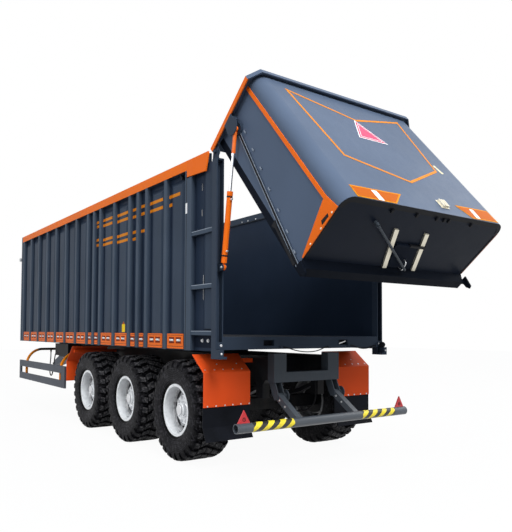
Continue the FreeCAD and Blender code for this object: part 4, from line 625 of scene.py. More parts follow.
def tread_block(builder, sections, start, end, slant, side=1.0):
    """A tread lug from one angle round the tyre to another, its sides leaning in towards the top."""
    points = []
    middle = sum(section[0] for section in sections) / len(sections)
    for across, top, foot in sections:
        first = start + slant * (across - middle)
        last = end + slant * (across - middle)
        corners = ((first, foot), (first + LUG_LEAN, top), (last - LUG_LEAN, top), (last, foot))
        points += [round_axle(across * side, radius, angle) for angle, radius in corners]
    faces = []
    for k in range(len(sections) - 1):
        low = k * 4
        faces += [[low + n, low + n + 1, low + n + 5, low + n + 4] for n in range(3)]
    last = len(points)
    faces += [[0, 3, 2, 1], [last - 4, last - 3, last - 2, last - 1]]
    builder.add(points, faces)


def tyre_mesh():
    builder = Builder()
    profile = list(CARCASS) + [(-across, radius) for across, radius in CARCASS[::-1][1:]]
    builder.lathe(profile, (0, 0, 0), (1, 0, 0), 4 * TREAD_PITCHES)
    pitch = 2 * math.pi / TREAD_PITCHES
    for k in range(TREAD_PITCHES):
        for side in SIDES:
            start = pitch * (k if side > 0 else k + 0.5)
            tread_block(builder, SHOULDER, start, start + pitch * 0.58, SHOULDER_SLANT, side)
            tread_block(builder, MIDDLE, start + pitch * 0.22, start + pitch * 0.88, MIDDLE_SLANT, side)
        tread_block(builder, CENTRE, pitch * (k + 0.10), pitch * (k + 0.76), CENTRE_SLANT)
    return builder.mesh("tyre")


# Wheel fittings, along the axle from the wheel's middle and away from it: the disc's face, the nuts, the
# hub's cap and ring, the hand holes, and the tyre's valve
DISC_FACE = 0.088
NUT_COUNT = 10
NUT_RING = 0.1425
NUT_FOOT = DISC_FACE + 0.015
NUT_SIZE = 0.022
HUB_SIDES = 40
HUB_CAP = ((0.0, 0.060), (0.004, 0.063), (0.012, 0.063), (0.018, 0.050), (0.020, 0.0))
HUB_CAP_FOOT = DISC_FACE + 0.072
HUB_RING = ((0.0, 0.095), (0.010, 0.095), (0.014, 0.090), (0.014, 0.080))
HUB_RING_FOOT = DISC_FACE + 0.014
HOLE_COUNT = 8
HOLE_RING = 0.222
HOLE_REACH = 0.028
HOLE_ANGLE = 0.300
HOLE_SIDES = 20
VALVE_AXIS = (1, 0, 0.15)


def wheel_detail_mesh():
    builder = Builder()
    for k in range(NUT_COUNT):
        builder.bolt(round_axle(NUT_FOOT, NUT_RING, 2 * math.pi * k / NUT_COUNT), (1, 0, 0), NUT_SIZE)
    builder.lathe(HUB_CAP, (HUB_CAP_FOOT, 0, 0), (1, 0, 0), HUB_SIDES)
    builder.lathe(HUB_RING, (HUB_RING_FOOT, 0, 0), (1, 0, 0), HUB_SIDES)
    builder.disc((0.110, 0.0, -0.262), VALVE_AXIS, 0.007, 0.075, 10)
    builder.disc((0.180, 0.0, -0.2515), VALVE_AXIS, 0.010, 0.012, 10)
    return builder.mesh("wheel_fittings")


def hole_shade_mesh():
    """Hand holes of the disc, as black patches on its cone that paint the shade seen through the openings.
    """
    builder = Builder()
    for k in range(HOLE_COUNT):
        ring = []
        for n in range(HOLE_SIDES):
            turn = 2 * math.pi * n / HOLE_SIDES
            radius = HOLE_RING + HOLE_REACH * math.sin(turn)
            angle = 2 * math.pi * k / HOLE_COUNT + HOLE_ANGLE * math.cos(turn)
            along = DISC_FACE + 0.0016 - 0.22 * (radius - 0.200)
            ring.append(round_axle(along, radius, angle))
        builder.prism(ring, (-0.001, 0, 0))
    return builder.mesh("wheel_hole_shade")


def make_wheels():
    rubber = tyre_mesh()
    fittings = wheel_detail_mesh()
    hole_shade = hole_shade_mesh()
    for name in ("rear", "middle", "front"):
        for side, turn in (("right", 0.0), ("left", math.pi)):
            wheel = f"{name}_{side}"
            centre = Vector(JOINTS[f"wheel_{wheel}_spin"]["pos_m"])
            matrix = Matrix.Translation(centre) @ Matrix.Rotation(turn, 4, "Z")
            made = piece(f"tread_{wheel}", rubber, "tyre", f"wheel_{wheel}", matrix)
            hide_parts(f"tyre_{wheel}")
            piece(f"hub_{wheel}", fittings, "zinc", f"wheel_{wheel}", matrix)
            # Black patches of painted shade over the hand holes
            piece(f"windows_{wheel}", hole_shade, "black_paint", f"wheel_{wheel}", matrix)


# The studio: the floor's size and light, the sky's tint and its light by height, the lamps and their aim
FLOOR_HALF = 40
FLOOR_THICK = 0.01
FLOOR_GLOW = 1.06
FLOOR_SHARE = 0.90
WHITE = (1.0, 1.0, 1.0, 1.0)
SKY_TINT = (0.86, 0.93, 1.0, 1.0)
SKY_HEIGHTS = (-0.05, 0.95)
SKY_LIGHT = (0.16, 1.25)
LAMPS = (("key", (-3, -14, 13), 7.0, 2500.0), ("side", (-15, -2, 8), 7.0, 640.0),
         ("right", (12, -6, 9), 8.0, 340.0))
AIM = Vector((0, 0, 1.5))


def make_stage():
    floor = Builder()
    span = about(0, FLOOR_HALF)
    floor.prism([(x, y, 0) for x, y in oblong(span, span)], (0, 0, -FLOOR_THICK))
    shader = Shader("studio_floor")
    cloud = shader.noise(3.0)
    shader.set(Base_Color=shader.mixed(cloud, tint((0.24, 0.24, 0.24)), tint((0.27, 0.27, 0.27))),
               Roughness=0.9)
    glow = shader.node("ShaderNodeEmission", inputs={"Color": WHITE, "Strength": FLOOR_GLOW})
    lit = Socket(shader, shader.surface.outputs[0])
    share = shader.plain_rays() * FLOOR_SHARE
    bright = shader.node("ShaderNodeMixShader", inputs={0: share, 1: lit, 2: glow})
    shader.put(shader.nodes["Material Output"].inputs[0], bright)
    made = linked("studio_floor", floor.mesh("studio_floor"))
    made.data.materials.append(shader.material)


def make_light():
    bpy.context.scene.view_settings.view_transform = "Standard"
    world = bpy.data.worlds.new("studio")
    bpy.context.scene.world = world
    world.use_nodes = True
    sky = Tree(world.node_tree, "Generated")
    soft = sky.nodes["Background"]
    sky.put(soft.inputs["Color"], SKY_TINT)
    sky.put(soft.inputs["Strength"], sky.between(sky.axis(2), *SKY_HEIGHTS, *SKY_LIGHT))
    white = sky.node("ShaderNodeBackground", inputs={"Color": WHITE, "Strength": 1.0})
    inputs = {0: sky.plain_rays(), 1: Socket(sky, soft.outputs[0]), 2: white}
    sky.put(sky.nodes["World Output"].inputs[0], sky.node("ShaderNodeMixShader", inputs=inputs))
    for name, place, size, power in LAMPS:
        lamp = bpy.data.lights.new(name, "AREA")
        lamp.size = size
        lamp.energy = power
        holder = linked(name, lamp)
        holder.location = place
        holder.rotation_euler = (AIM - Vector(place)).to_track_quat("-Z", "Y").to_euler()


# Cords, as control points in the layout, with their radius and length
CORDS = (
    ("sill_cable_left", 0.006, 0.712, "medium", (
        (-0.387, -0.009, 1.338), (-0.335, -0.009, 1.338), (-0.262, -0.009, 1.316), (-0.160, -0.009, 1.292),
        (-0.040, -0.009, 1.279), (0.075, -0.009, 1.281), (0.178, -0.009, 1.298), (0.260, -0.009, 1.331),
        (0.312, -0.009, 1.331))),
    ("sill_cable_right", 0.006, 0.476, "medium", (
        (0.672, -0.009, 1.350), (0.720, -0.009, 1.350), (0.790, -0.009, 1.326), (0.880, -0.009, 1.307),
        (0.970, -0.009, 1.306), (1.045, -0.009, 1.321), (1.100, -0.009, 1.341), (1.138, -0.009, 1.341))),
    ("brake_hose", 0.009, 1.043, "medium", (
        (0.200, 0.095, 0.940), (0.200, 0.095, 0.880), (0.214, 0.104, 0.800), (0.231, 0.125, 0.715),
        (0.236, 0.165, 0.640), (0.226, 0.230, 0.580), (0.212, 0.320, 0.540), (0.203, 0.430, 0.524),
        (0.199, 0.545, 0.534), (0.198, 0.660, 0.563), (0.200, 0.768, 0.592), (0.200, 0.853, 0.592))),
    ("valve_hose", 0.011, 1.348, "medium", (
        (-0.730, 7.378, 1.071), (-0.730, 7.378, 0.975), (-0.737, 7.380, 0.865), (-0.750, 7.374, 0.752),
        (-0.761, 7.335, 0.655), (-0.770, 7.258, 0.590), (-0.778, 7.155, 0.583), (-0.786, 7.072, 0.640),
        (-0.794, 7.010, 0.735), (-0.801, 6.948, 0.829), (-0.807, 6.885, 0.921), (-0.812, 6.832, 1.018),
        (-0.816, 6.760, 1.076), (-0.816, 6.670, 1.076))),
)
CORD_STEPS = 16


def make_cords():
    for name, radius, length, stiffness, route in CORDS:
        points = [at(*point) for point in route]
        cord = tube(f"cord_{name}", points, radius, "hose", "chassis")
        cord.data.resolution_u = CORD_STEPS
        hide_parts(name)


# Artwork on the tailgate's rear panel, as (across, height) with the tailgate closed
PANEL_Y = TAIL_REAR - 0.0012
FILM = 0.0006
HEXAGON = ((-0.853, 3.343), (-0.024, 3.093), (0.847, 3.373), (0.712, 2.385), (0.015, 2.029),
           (-0.745, 2.251))
TRIANGLE = ((-0.060, 3.066), (0.176, 2.728), (-0.218, 2.723))
BOARDS = (((-1.021, 1.744), (-0.348, 1.758), (-0.530, 1.586), (-1.020, 1.584)),
          ((0.463, 1.765), (1.027, 1.780), (1.047, 1.595), (0.600, 1.584)))
SLASHES = (((-0.770, 1.725), (-0.700, 1.725), (-0.685, 1.590), (-0.755, 1.590)),
           ((0.680, 1.745), (0.745, 1.745), (0.740, 1.600), (0.672, 1.600)))
LABEL = ((0.752, 2.501), (0.800, 2.515), (0.842, 2.375), (0.796, 2.359))
LATCH = (0.235, 1.725)
LATCH_HALF = 0.060
LATCH_PLATE = 0.006
LATCH_SLATS = (-0.034, 0.0, 0.034)
LATCH_SLAT_HALF = 0.010
LATCH_SLAT_REACH = 0.024


def flat(points, depth=0.0):
    return [at(x, PANEL_Y - depth, z) for x, z in points]


def offset_outline(points, distance):
    """A closed outline moved out by a distance, with mitred corners."""
    result = []
    pairs = list(zip(points, points[1:] + points[:1]))
    turn = 1.0 if sum(a[0] * b[1] - b[0] * a[1] for a, b in pairs) > 0 else -1.0
    for k, (point, beyond) in enumerate(pairs):
        here = Vector(point)
        before = (here - Vector(points[k - 1])).normalized()
        after = (Vector(beyond) - here).normalized()
        first = Vector((before.y, -before.x)) * turn
        second = Vector((after.y, -after.x)) * turn
        bisector = (first + second).normalized()
        result.append(tuple(here + bisector * distance / bisector.dot(first)))
    return result


def frame_line(name, points, width, material, depth=0.0):
    """A painted line round an outline, in one flat length for each side."""
    outer = offset_outline(points, width / 2)
    inner = offset_outline(points, -width / 2)
    quads = []
    for k in range(len(points)):
        n = (k + 1) % len(points)
        quads.append([outer[k], outer[n], inner[n], inner[k]])
    plates(name, quads, material, depth)


def plates(name, outlines, material, depth=0.0, thickness=FILM):
    builder = Builder()
    for outline in outlines:
        builder.prism(flat(outline, depth), (0, -thickness, 0))
    builder.piece(name, material, "tailgate")


def make_artwork():
    frame_line("panel_hexagon", HEXAGON, 0.030, "line_orange")
    plates("warning_triangle_edge", [offset_outline(TRIANGLE, 0.012)], "white_line")
    plates("warning_triangle", [TRIANGLE], "pink", depth=0.0008)
    frame_line("warning_triangle_line", offset_outline(TRIANGLE, -0.022), 0.007, "white_line", depth=0.0015)
    plates("marker_boards", BOARDS, "board_edge", thickness=0.002)
    fields = [offset_outline(board, -0.016) for board in BOARDS]
    plates("marker_fields", fields, "line_red", depth=0.0022)
    plates("marker_slashes", SLASHES, "white_line", depth=0.0030)
    plates("blank_label", [LABEL], "cream")


# Painted dashes on the side walls: rear end, front end, then the heights of their middles
DASH_HEIGHT = 0.040
DASH_FILM = 0.0012
DASH_ROWS = (
    (0.852, 1.132, (3.135,)), (1.081, 1.132, (3.034,)), (1.307, 1.662, (3.146, 3.046)),
    (1.830, 1.900, (3.152, 3.055)), (2.055, 2.172, (3.150, 3.054)), (2.347, 2.728, (3.154, 3.068)),
    (2.906, 3.265, (3.165, 3.088)), (3.412, 3.463, (3.170, 3.106)), (1.821, 1.880, (2.827,)),
    (2.045, 2.190, (2.844, 2.752)), (2.337, 2.719, (2.857, 2.774)), (2.897, 3.254, (2.873, 2.801)),
    (3.402, 3.472, (2.900, 2.821)),
)
# The wall's pressed profile between two ribs: places along from a rib's middle, then how far the low and
# high parts lie from the middle plane; two bays stay flat and have a rib half way
FIRST_RIB = 0.647
RIB_PITCH = 0.530
RIB_COUNT = 14
RIB_ROOT = 0.045
RIB_SIDE = 0.021
SWAGE_START = 0.063
SWAGE_FLAT = 0.158
WALL_LOW = 1.215
WALL_HIGH = 1.245
FLAT_BAYS = (2, 5)
ROOT_REACH = 0.070


def wall_corners(start, end):
    """The wall's profile from one place along it to another, as (along, distance) points."""
    bay = int((start - FIRST_RIB) // RIB_PITCH)
    rib = FIRST_RIB + bay * RIB_PITCH
    next_rib = rib + RIB_PITCH

    def reach(y):
        from_rib = min(y - rib, next_rib - y)
        if bay in FLAT_BAYS or from_rib < SWAGE_START:
            return WALL_LOW
        share = min(1.0, (from_rib - SWAGE_START) / (SWAGE_FLAT - SWAGE_START))
        return WALL_LOW + (WALL_HIGH - WALL_LOW) * share

    corners = [rib + SWAGE_START, rib + SWAGE_FLAT, next_rib - SWAGE_FLAT, next_rib - SWAGE_START]
    far = next_rib
    if bay in FLAT_BAYS and start < rib + RIB_PITCH / 2:
        far = rib + RIB_PITCH / 2
    root = far - RIB_ROOT
    end = min(end, root)
    line = [(y, reach(y)) for y in [start] + [y for y in corners if start < y < end] + [end]]
    if root - end < ROOT_REACH:
        line += [(root, WALL_LOW), (root + RIB_SIDE / 5, WALL_LOW + RIB_SIDE)]
    return line


def dash_height(z, reach):
    """A dash keeps a straight line seen from behind, although the wall steps in and out under it."""
    eye = CAMERA_PLACE
    return eye.z + (z - eye.z) * (reach + eye.x) / (WALL_HIGH + eye.x)


def make_dashes():
    builder = Builder()
    for side in SIDES:
        for start, end, heights in DASH_ROWS:
            line = wall_corners(start, end)
            for (y0, x0), (y1, x1) in zip(line, line[1:]):
                if y1 - y0 < 1e-4:
                    continue
                for z in heights:
                    low, high = about(z, DASH_HEIGHT / 2)
                    corners = ((x0, y0, low), (x1, y1, low), (x1, y1, high), (x0, y0, high))
                    quad = [at(side * x, y, dash_height(edge, x)) for x, y, edge in corners]
                    builder.prism(quad, (side * DASH_FILM, 0, 0))
    builder.piece("wall_dashes", "line_orange")


# The seam on the first rib and the keeper across it
SEAM_ALONG = (0.641, 0.653)
SEAM_HEIGHTS = ((1.305, 2.860), (2.980, 3.340))
KEEPER_ALONG = (0.628, 0.668)
KEEPER_HEIGHTS = (2.860, 2.980)
# The rear bay: its slots as distance from the middle plane, along, foot and top, with half their width and
# the edge beside them, each slot a dark strip of painted shade with a pale strip of painted highlight on
# that edge; the dark blocks of painted shadow at the top of the bay under the rail; its recess, covered by
# a dark plate of painted shade; bolts, and steps whose top edges are pale strips of painted highlight
BAY_SLOTS = ((1.213, 0.385, 3.084, 3.162), (1.213, 0.388, 2.800, 2.870), (1.224, 0.330, 1.860, 2.136))
BAY_SLOT_HALF = 0.008
BAY_SLOT_EDGE = 0.003
RAIL_SHADOW_BLOCKS = (3.317, 3.342)
SHADOW_BLOCK_SHIFT = 2.536
RECESS_ALONG = (0.100, 0.530)
RECESS_HEIGHTS = (1.335, 1.465)
BAY_BOLTS = (0.367, 0.243)
EDGE_BOLTS = (3.583, 1.972)
STEP_ALONG = (0.092, 0.535)
STEP_TOPS = (1.519, 2.028, 2.631)
# The tie-down panels: their ends beside the ribs, their grooves, drawn as dark lines of painted shade, the
# hook slots with dark backs of painted shade, the lips over and under a slot, dark red as painted shade,
# and the bar in it
PANEL_END = RIB_ROOT + 0.024
PANEL_SKIN = 1.2651
SHORT_PANEL = 0.286
SLOT_SHIFT = 0.014
GROOVES = ((1.4655, 1.4705), (1.3360, 1.3410))
SLOT_HEIGHT = 1.409
SLOT_HALF = (0.054, 0.016)
LIP_HALF = 0.066
LIPS = ((0.017, 0.036), (-0.036, -0.017))
BAR_HALF = 0.036
BAR_RADIUS = 0.0125
# The bare label on the left wall, with the tip over it
LABEL_SKIN = (-1.2462, -1.2450)
LABEL_ALONG = (2.395, 2.495)
LABEL_HEIGHTS = (1.499, 1.608)
LABEL_TIP = ((2.405, 1.608), (2.485, 1.608), (2.445, 1.648))


def tie_panel(side, start, end, dark, light, lips):
    """Grooves, hook slots and bars of the tie-down panel between two ribs, with painted shade as dark lines
    in the grooves, dark slot backs and dark red lips.
    """
    low = start + PANEL_END
    high = end - PANEL_END
    # Dark lines of painted shade along the grooves
    for heights in GROOVES:
        dark.slab((PANEL_SKIN, 1.2640), (low + 0.008, high - 0.008), heights, side)
    centres = [(low * 3 + high) / 4 + SLOT_SHIFT, (low + high * 3) / 4 - SLOT_SHIFT]
    if high - low < SHORT_PANEL:
        centres = [(low + high) / 2]
    for centre in centres:
        # The slot's dark back is painted shade
        dark.slab((1.2560, 1.2550), about(centre, SLOT_HALF[0]), about(SLOT_HEIGHT, SLOT_HALF[1]), side)
        # Dark red lips, painted shade round the slot
        for foot, top in LIPS:
            heights = (SLOT_HEIGHT + foot, SLOT_HEIGHT + top)
            lips.slab((1.2640, 1.2656), about(centre, LIP_HALF), heights, side)
        bar = at(side * 1.2620, centre - BAR_HALF, SLOT_HEIGHT)
        light.disc(bar, (0, 1, 0), BAR_RADIUS, 2 * BAR_HALF, 14)


def make_wall_fittings():
    dark, light, bolts, recess, edges, lips, label, tip = (Builder() for _ in range(8))
    for side in SIDES:
        for heights in SEAM_HEIGHTS:
            dark.slab((1.270, 1.2752), SEAM_ALONG, heights, side)
        light.slab((1.262, 1.2753), KEEPER_ALONG, KEEPER_HEIGHTS, side)
        # Bay slots: dark strips of painted shade, each with a pale strip of painted highlight on one edge
        for x, y, low, high in BAY_SLOTS:
            dark.slab((x - 0.002, x + 0.0012), about(y, BAY_SLOT_HALF), (low, high), side)
            edge = y + BAY_SLOT_HALF
            light.slab((x - 0.002, x + 0.0022), (edge, edge + BAY_SLOT_EDGE), (low, high), side)
        # Dark blocks of painted shadow at the top of the bay under the rail
        for z in RAIL_SHADOW_BLOCKS:
            along = z - SHADOW_BLOCK_SHIFT
            dark.slab((1.216, 1.262), (along, along + 0.016), (z - 0.035, z), side)
        for y in EDGE_BOLTS:
            bolts.bolt(at(side * WALL_HIGH, y, 1.410), (side, 0, 0), 0.017)
        bolts.disc(at(side * 1.2735, 0.592, 1.407), (side, 0, 0), 0.022, 0.0014, 18)
        # A dark plate of painted shade over the bay's lower recess
        recess.slab((1.2120, 1.2142), RECESS_ALONG, RECESS_HEIGHTS, side)
        for y in BAY_BOLTS:
            bolts.bolt(at(side * 1.2142, y, 1.412), (side, 0, 0), 0.020)
        # Pale top edges of the steps, painted highlight
        for z in STEP_TOPS:
            edges.slab((1.2660, 1.2684), STEP_ALONG, (z - 0.007, z + 0.0015), side)
        for k in range(RIB_COUNT - 1):
            rib = FIRST_RIB + k * RIB_PITCH
            ends = [rib, rib + RIB_PITCH]
            if k in FLAT_BAYS:
                ends.insert(1, rib + RIB_PITCH / 2)
            for start, end in zip(ends, ends[1:]):
                tie_panel(side, start, end, dark, light, lips)
    # Dark seams, and painted shade in slots, grooves and under the rail
    dark.piece("wall_seams_and_shade", "black_paint")
    light.piece("lashing_bars_and_highlights", "white_line")
    recess.piece("bay_recess_shade", "dark_paint_and_shade")
    edges.piece("step_edge_highlights", "pale_trim_and_highlight")
    lips.piece("slot_shade_lips", "slot_shade_red")
    bolts.piece("wall_bolts", "zinc")
    label.slab(LABEL_SKIN, LABEL_ALONG, LABEL_HEIGHTS)
    tip.prism([at(LABEL_SKIN[0], y, z) for y, z in LABEL_TIP], (LABEL_SKIN[1] - LABEL_SKIN[0], 0, 0))
    label.piece("blank_wall_label", "yellow")
    tip.piece("wall_label_tip", "line_red")


# The front corners' lamps: their place, then body and glass as (outwards, radius)
LAMP_Y = 7.900
LAMP_Z = 3.020
LAMP_BODY = ((0.0, 0.0), (0.0, 0.034), (0.012, 0.042), (0.042, 0.042), (0.046, 0.036), (0.040, 0.034))
LAMP_GLASS = ((0.0, 0.034), (0.008, 0.030), (0.012, 0.0))


def make_front_lamps():
    """Round marker lamps on short brackets at the front corners."""
    bodies, glass = Builder(), Builder()
    for side in SIDES:
        bodies.slab((1.190, 1.215), (7.699, LAMP_Y), about(LAMP_Z, 0.012), side)
        bodies.lathe(LAMP_BODY, at(side * 1.216, LAMP_Y, LAMP_Z), (side, 0, 0), 24)
        glass.lathe(LAMP_GLASS, at(side * 1.256, LAMP_Y, LAMP_Z), (side, 0, 0), 24)
    bodies.piece("front_lamps", "zinc")
    glass.piece("front_lamp_glass", "lamp_glass")


# The rear mudguard's slope: its foot along and up, its run forwards and its rise; the lap of the sheet over
# it; the bolts across it and along the flap's strip
GUARD_REAR = 0.245
GUARD_FOOT = 1.062
GUARD_RUN = 0.245
GUARD_RISE = 0.190
GUARD_NORMAL = Vector((0.0, -GUARD_RISE, GUARD_RUN)).normalized()
LAP_START = 0.36
LAP_THICK = 0.006
LAP_ACROSS = (0.664, 0.516)
LAP_BOLTS = (1.046, 0.780)
SLOPE_BOLTS = (-1.235, -1.113, -1.003, -0.876, -0.751, 0.751, 0.876, 1.003, 1.113, 1.235)
FLAP_BOLTS = (0.673, 0.787, 0.896, 1.000, 1.114, 1.225)
FLAP_STRIP = ((0.662, 1.273), (GUARD_REAR - 0.005, GUARD_REAR + 0.001), (0.6895, 0.7150))


def guard_slope(x, share, lift=0.0):
    """A point on the rear mudguard's slope, by its share of the way up, lifted off the sheet."""
    off = GUARD_NORMAL * lift
    return at(x, GUARD_REAR + share * GUARD_RUN + off.y, GUARD_FOOT + share * GUARD_RISE + off.z)


def make_mudguard_fittings():
    bolts, strip, lap = Builder(), Builder(), Builder()
    for x in SLOPE_BOLTS:
        bolts.bolt(guard_slope(x, 0.14), GUARD_NORMAL, 0.013)
    corners = ((LAP_START, 0.0), (1.0, 0.0), (1.0, LAP_THICK), (LAP_START, LAP_THICK))
    for side in SIDES:
        for x in FLAP_BOLTS:
            bolts.bolt(at(side * x, GUARD_REAR - 0.004, 0.702), (0, -1, 0), 0.012)
        strip.slab(*FLAP_STRIP, side)
        start, width = LAP_ACROSS
        lap.prism([guard_slope(side * start, *corner) for corner in corners], (side * width, 0, 0))
        for x in LAP_BOLTS:
            bolts.bolt(guard_slope(side * x, 0.42, LAP_THICK), GUARD_NORMAL, 0.011)
    bolts.piece("mudguard_bolts", "zinc")
    strip.piece("flap_strips", "black_paint")
    lap.piece("mudguard_laps", "guard_red")


# The sill's slots with their lock rod, and the corner buffer's outline as (height, radius)
SILL_SLOTS = (-0.572, 0.572)
SILL_SLOT_HALF = 0.0745
LOCK_ROD_AXIS = (0.115, 0, 0.032)
BUFFER = ((-0.036, 0.0), (-0.034, 0.020), (-0.022, 0.034), (0.0, 0.040), (0.022, 0.034), (0.036, 0.012),
          (0.038, 0.0))
# The bumper's arms, from their upper end, and the rings round the reflectors' marks
ARM_X = (-0.43, 0.43)
ARM_HALF = 0.036
ARM_RUN = (-0.364, -0.242)
ARM_TOP = 0.787
ARM_BOLTS = (0.16, 0.42)
MARK_RING = ((0.0, 0.020), (0.002, 0.020), (0.002, 0.014), (0.0, 0.014))
MARK_PLACE = (1.165, -0.3712, 0.632)


def make_rear_fittings():
    """Post feet, sill slots with their lock rod, and the corner buffer."""
    bolts, rubber, rod, feet = (Builder() for _ in range(4))
    for side in SIDES:
        feet.slab((1.183, 1.274), (-0.002, 0.004), (1.322, 1.402), side)
        bolts.bolt(at(side * 1.208, -0.002, 1.365), (0, -1, 0), 0.014)
        bolts.bolt(at(side * 1.250, -0.076, 1.280), (0, -1, 0), 0.012)
    for x in SILL_SLOTS:
        rubber.slab(about(x, SILL_SLOT_HALF), (0.055, 0.059), (1.3570, 1.4180))
    rod.disc(at(0.515, 0.020, 1.370), LOCK_ROD_AXIS, 0.009, 0.118, 12)
    rubber.lathe(BUFFER, at(1.232, -0.038, 1.352), (0, 0, 1), 20)
    bolts.piece("rear_bolts", "zinc")
    feet.piece("post_feet", "anthracite")
    rubber.piece("rear_rubber", "rubber")
    rod.piece("sill_lock_rod", "zinc")


def make_bumper_fittings():
    """Bolts through the bumper's arms, and the reflectors' marks."""
    bolts, marks = Builder(), Builder()
    for x in ARM_X:
        for share in ARM_BOLTS:
            for side in SIDES:
                centre = at(x + side * ARM_HALF, ARM_RUN[0] * share, ARM_TOP + ARM_RUN[1] * share)
                bolts.bolt(centre, (side, 0, 0), 0.013)
    bolts.piece("bumper_bolts", "zinc", "bumper")
    x, y, z = MARK_PLACE
    for side in SIDES:
        marks.lathe(MARK_RING, at(side * x, y, z), (0, -1, 0), 24)
        marks.disc(at(side * x, y, z), (0, -1, 0), 0.005, 0.003, 10)
    marks.piece("reflector_marks", "black_paint", "bumper")


# Spring brake chambers: the axles along, the chamber's and the clamp's outlines as (along, radius)
AXLES = tuple(0.928 + 1.438 * k for k in range(3))
CHAMBER = ((-0.115, 0.0), (-0.112, 0.052), (-0.100, 0.062), (-0.020, 0.066), (0.0, 0.078), (0.040, 0.074),
           (0.070, 0.050), (0.074, 0.0))
CLAMP = ((-0.008, 0.079), (-0.008, 0.084), (0.008, 0.084), (0.008, 0.079))


def make_brakes():
    """Spring brake chambers ahead of the axles, with their clamps and push rods."""
    cans, clamps = Builder(), Builder()
    for y in AXLES:
        for side in SIDES:
            centre = at(side * 0.555, y + 0.150, 0.640)
            axis = (side * 0.2, 1, 0.15)
            cans.lathe(CHAMBER, centre, axis, 28)
            clamps.lathe(CLAMP, centre, axis, 28, True)
            clamps.disc(at(side * 0.545, y + 0.060, 0.625), (0, 1, 0.15), 0.011, 0.050, 12)
    cans.piece("brake_chambers", "black_paint").data.shade_smooth()
    clamps.piece("brake_clamps", "zinc")


# The tailgate's side ribs, closed: clips behind the rib, and the rib's edges from the hood to the bottom,
# pale strips of painted highlight with dark lines of painted shade between them
RIB_CLIPS = ((-0.333, 3.211), (-0.296, 2.953), (-0.254, 2.701), (-0.205, 2.437), (-0.165, 2.172),
             (-0.121, 1.920), (-0.070, 1.700))
CLIP_SPAN = (0.016, 0.030)
CLIP_HALF = 0.022
RIB_TOP = (-0.300, 3.535)
RIB_FOOT = (-0.017, 1.576)
RIB_EDGE = 0.007
EDGE_HIGHLIGHTS = (0.003, 0.037)
EDGE_SHADE_LINES = (0.011, 0.019, 0.027)
SIDE_SLOT = ((-0.466, 1.640), (-0.559, 1.628), (-0.551, 1.598), (-0.450, 1.604))
SIDE_BOLTS = (-0.60, -0.42, -0.24)
CLAW = ((-0.058, 2.130), (0.018, 2.126), (-0.004, 2.064), (0.044, 1.610), (0.010, 1.600), (-0.030, 2.060))
# Under the tailgate: a black band of painted shade round the bottom's rear edge, the guide strips, the
# stops on the rear beam, and the hatch's handle as (across, along, drop)
TAIL_CORNER = 0.125
CORNER_STEPS = 8
EDGE_SHADE_WIDTH = 0.055
EDGE_SHADE_INSET = 0.002
GUIDE_STRIPS = ((-1.152, -1.128), (1.128, 1.152))
BEAM_STOPS = (-0.55, -0.21, 0.079, 0.188, 0.26, 0.62)
HANDLE = ((0.108, -0.088, 0.0), (0.108, -0.088, 0.045), (0.104, -0.110, 0.055), (0.085, -0.185, 0.055),
          (0.081, -0.204, 0.045), (0.081, -0.204, 0.0))


def edge_shade_pairs():
    """Neighbouring cross lines of the black band of painted shade, each an outer and an inner point, round
    the rear edge.
    """
    angles = [math.pi / 2 * k / CORNER_STEPS for k in range(CORNER_STEPS + 1)]
    turns = [(-1.0, angle) for angle in angles] + [(1.0, angle) for angle in angles[::-1]]
    lines = []
    for side, angle in turns:
        lines.append([(side * (TAIL_HALF - TAIL_CORNER + radius * math.cos(angle)),
                       TAIL_REAR + TAIL_CORNER - radius * math.sin(angle))
                      for radius in (TAIL_CORNER - EDGE_SHADE_INSET, TAIL_CORNER - EDGE_SHADE_WIDTH)])
    return list(zip(lines, lines[1:]))


def add_tail_side(side, clips, trim, dark, bolts):
    """Clips and long edges of a side rib, as painted highlight and painted shade, the claw, and the corner
    plate's slot and bolts.
    """
    face = TAIL_HALF + 0.011
    plate = TAIL_HALF + 0.008
    for y, z in RIB_CLIPS:
        clips.slab((face, face + 0.004), (y + CLIP_SPAN[0], y + CLIP_SPAN[1]), about(z, CLIP_HALF), side)
    # Pale edges are painted highlight, dark lines painted shade
    for builder, offsets in ((trim, EDGE_HIGHLIGHTS), (dark, EDGE_SHADE_LINES)):
        for offset in offsets:
            top, foot = RIB_TOP[0] + offset, RIB_FOOT[0] + offset
            run = ((top, RIB_TOP[1]), (top + RIB_EDGE, RIB_TOP[1]),
                   (foot + RIB_EDGE, RIB_FOOT[1]), (foot, RIB_FOOT[1]))
            builder.prism([at(side * face, y, z) for y, z in run], (side * 0.003, 0, 0))
    dark.prism([at(side * face, y, z) for y, z in CLAW], (side * 0.012, 0, 0))
    dark.prism([at(side * plate, y, z) for y, z in SIDE_SLOT], (side * 0.002, 0, 0))
    for y in SIDE_BOLTS:
        bolts.bolt(at(side * plate, y, 1.592), (side, 0, 0), 0.009)


def add_tail_bottom(dark):
    """A black band of painted shade round the rear edge, guide strips, stops and the hatch's plate under
    the bottom sheet.
    """
    under = TAIL_BOTTOM
    # Black band of painted shade round the bottom's rear edge
    for start, end in edge_shade_pairs():
        quad = [at(x, y, under) for x, y in (start[0], end[0], end[1], start[1])]
        dark.prism(quad, (0, 0, -0.003))
    for across in GUIDE_STRIPS:
        dark.slab(across, (-0.640, -0.060), (under - 0.004, under))
    for x in BEAM_STOPS:
        dark.slab(about(x, 0.014), (-0.750, -0.715), (under - 0.022, under - 0.004))
    dark.slab((-0.010, 0.215), (-0.400, -0.376), (under - 0.034, under - 0.006))


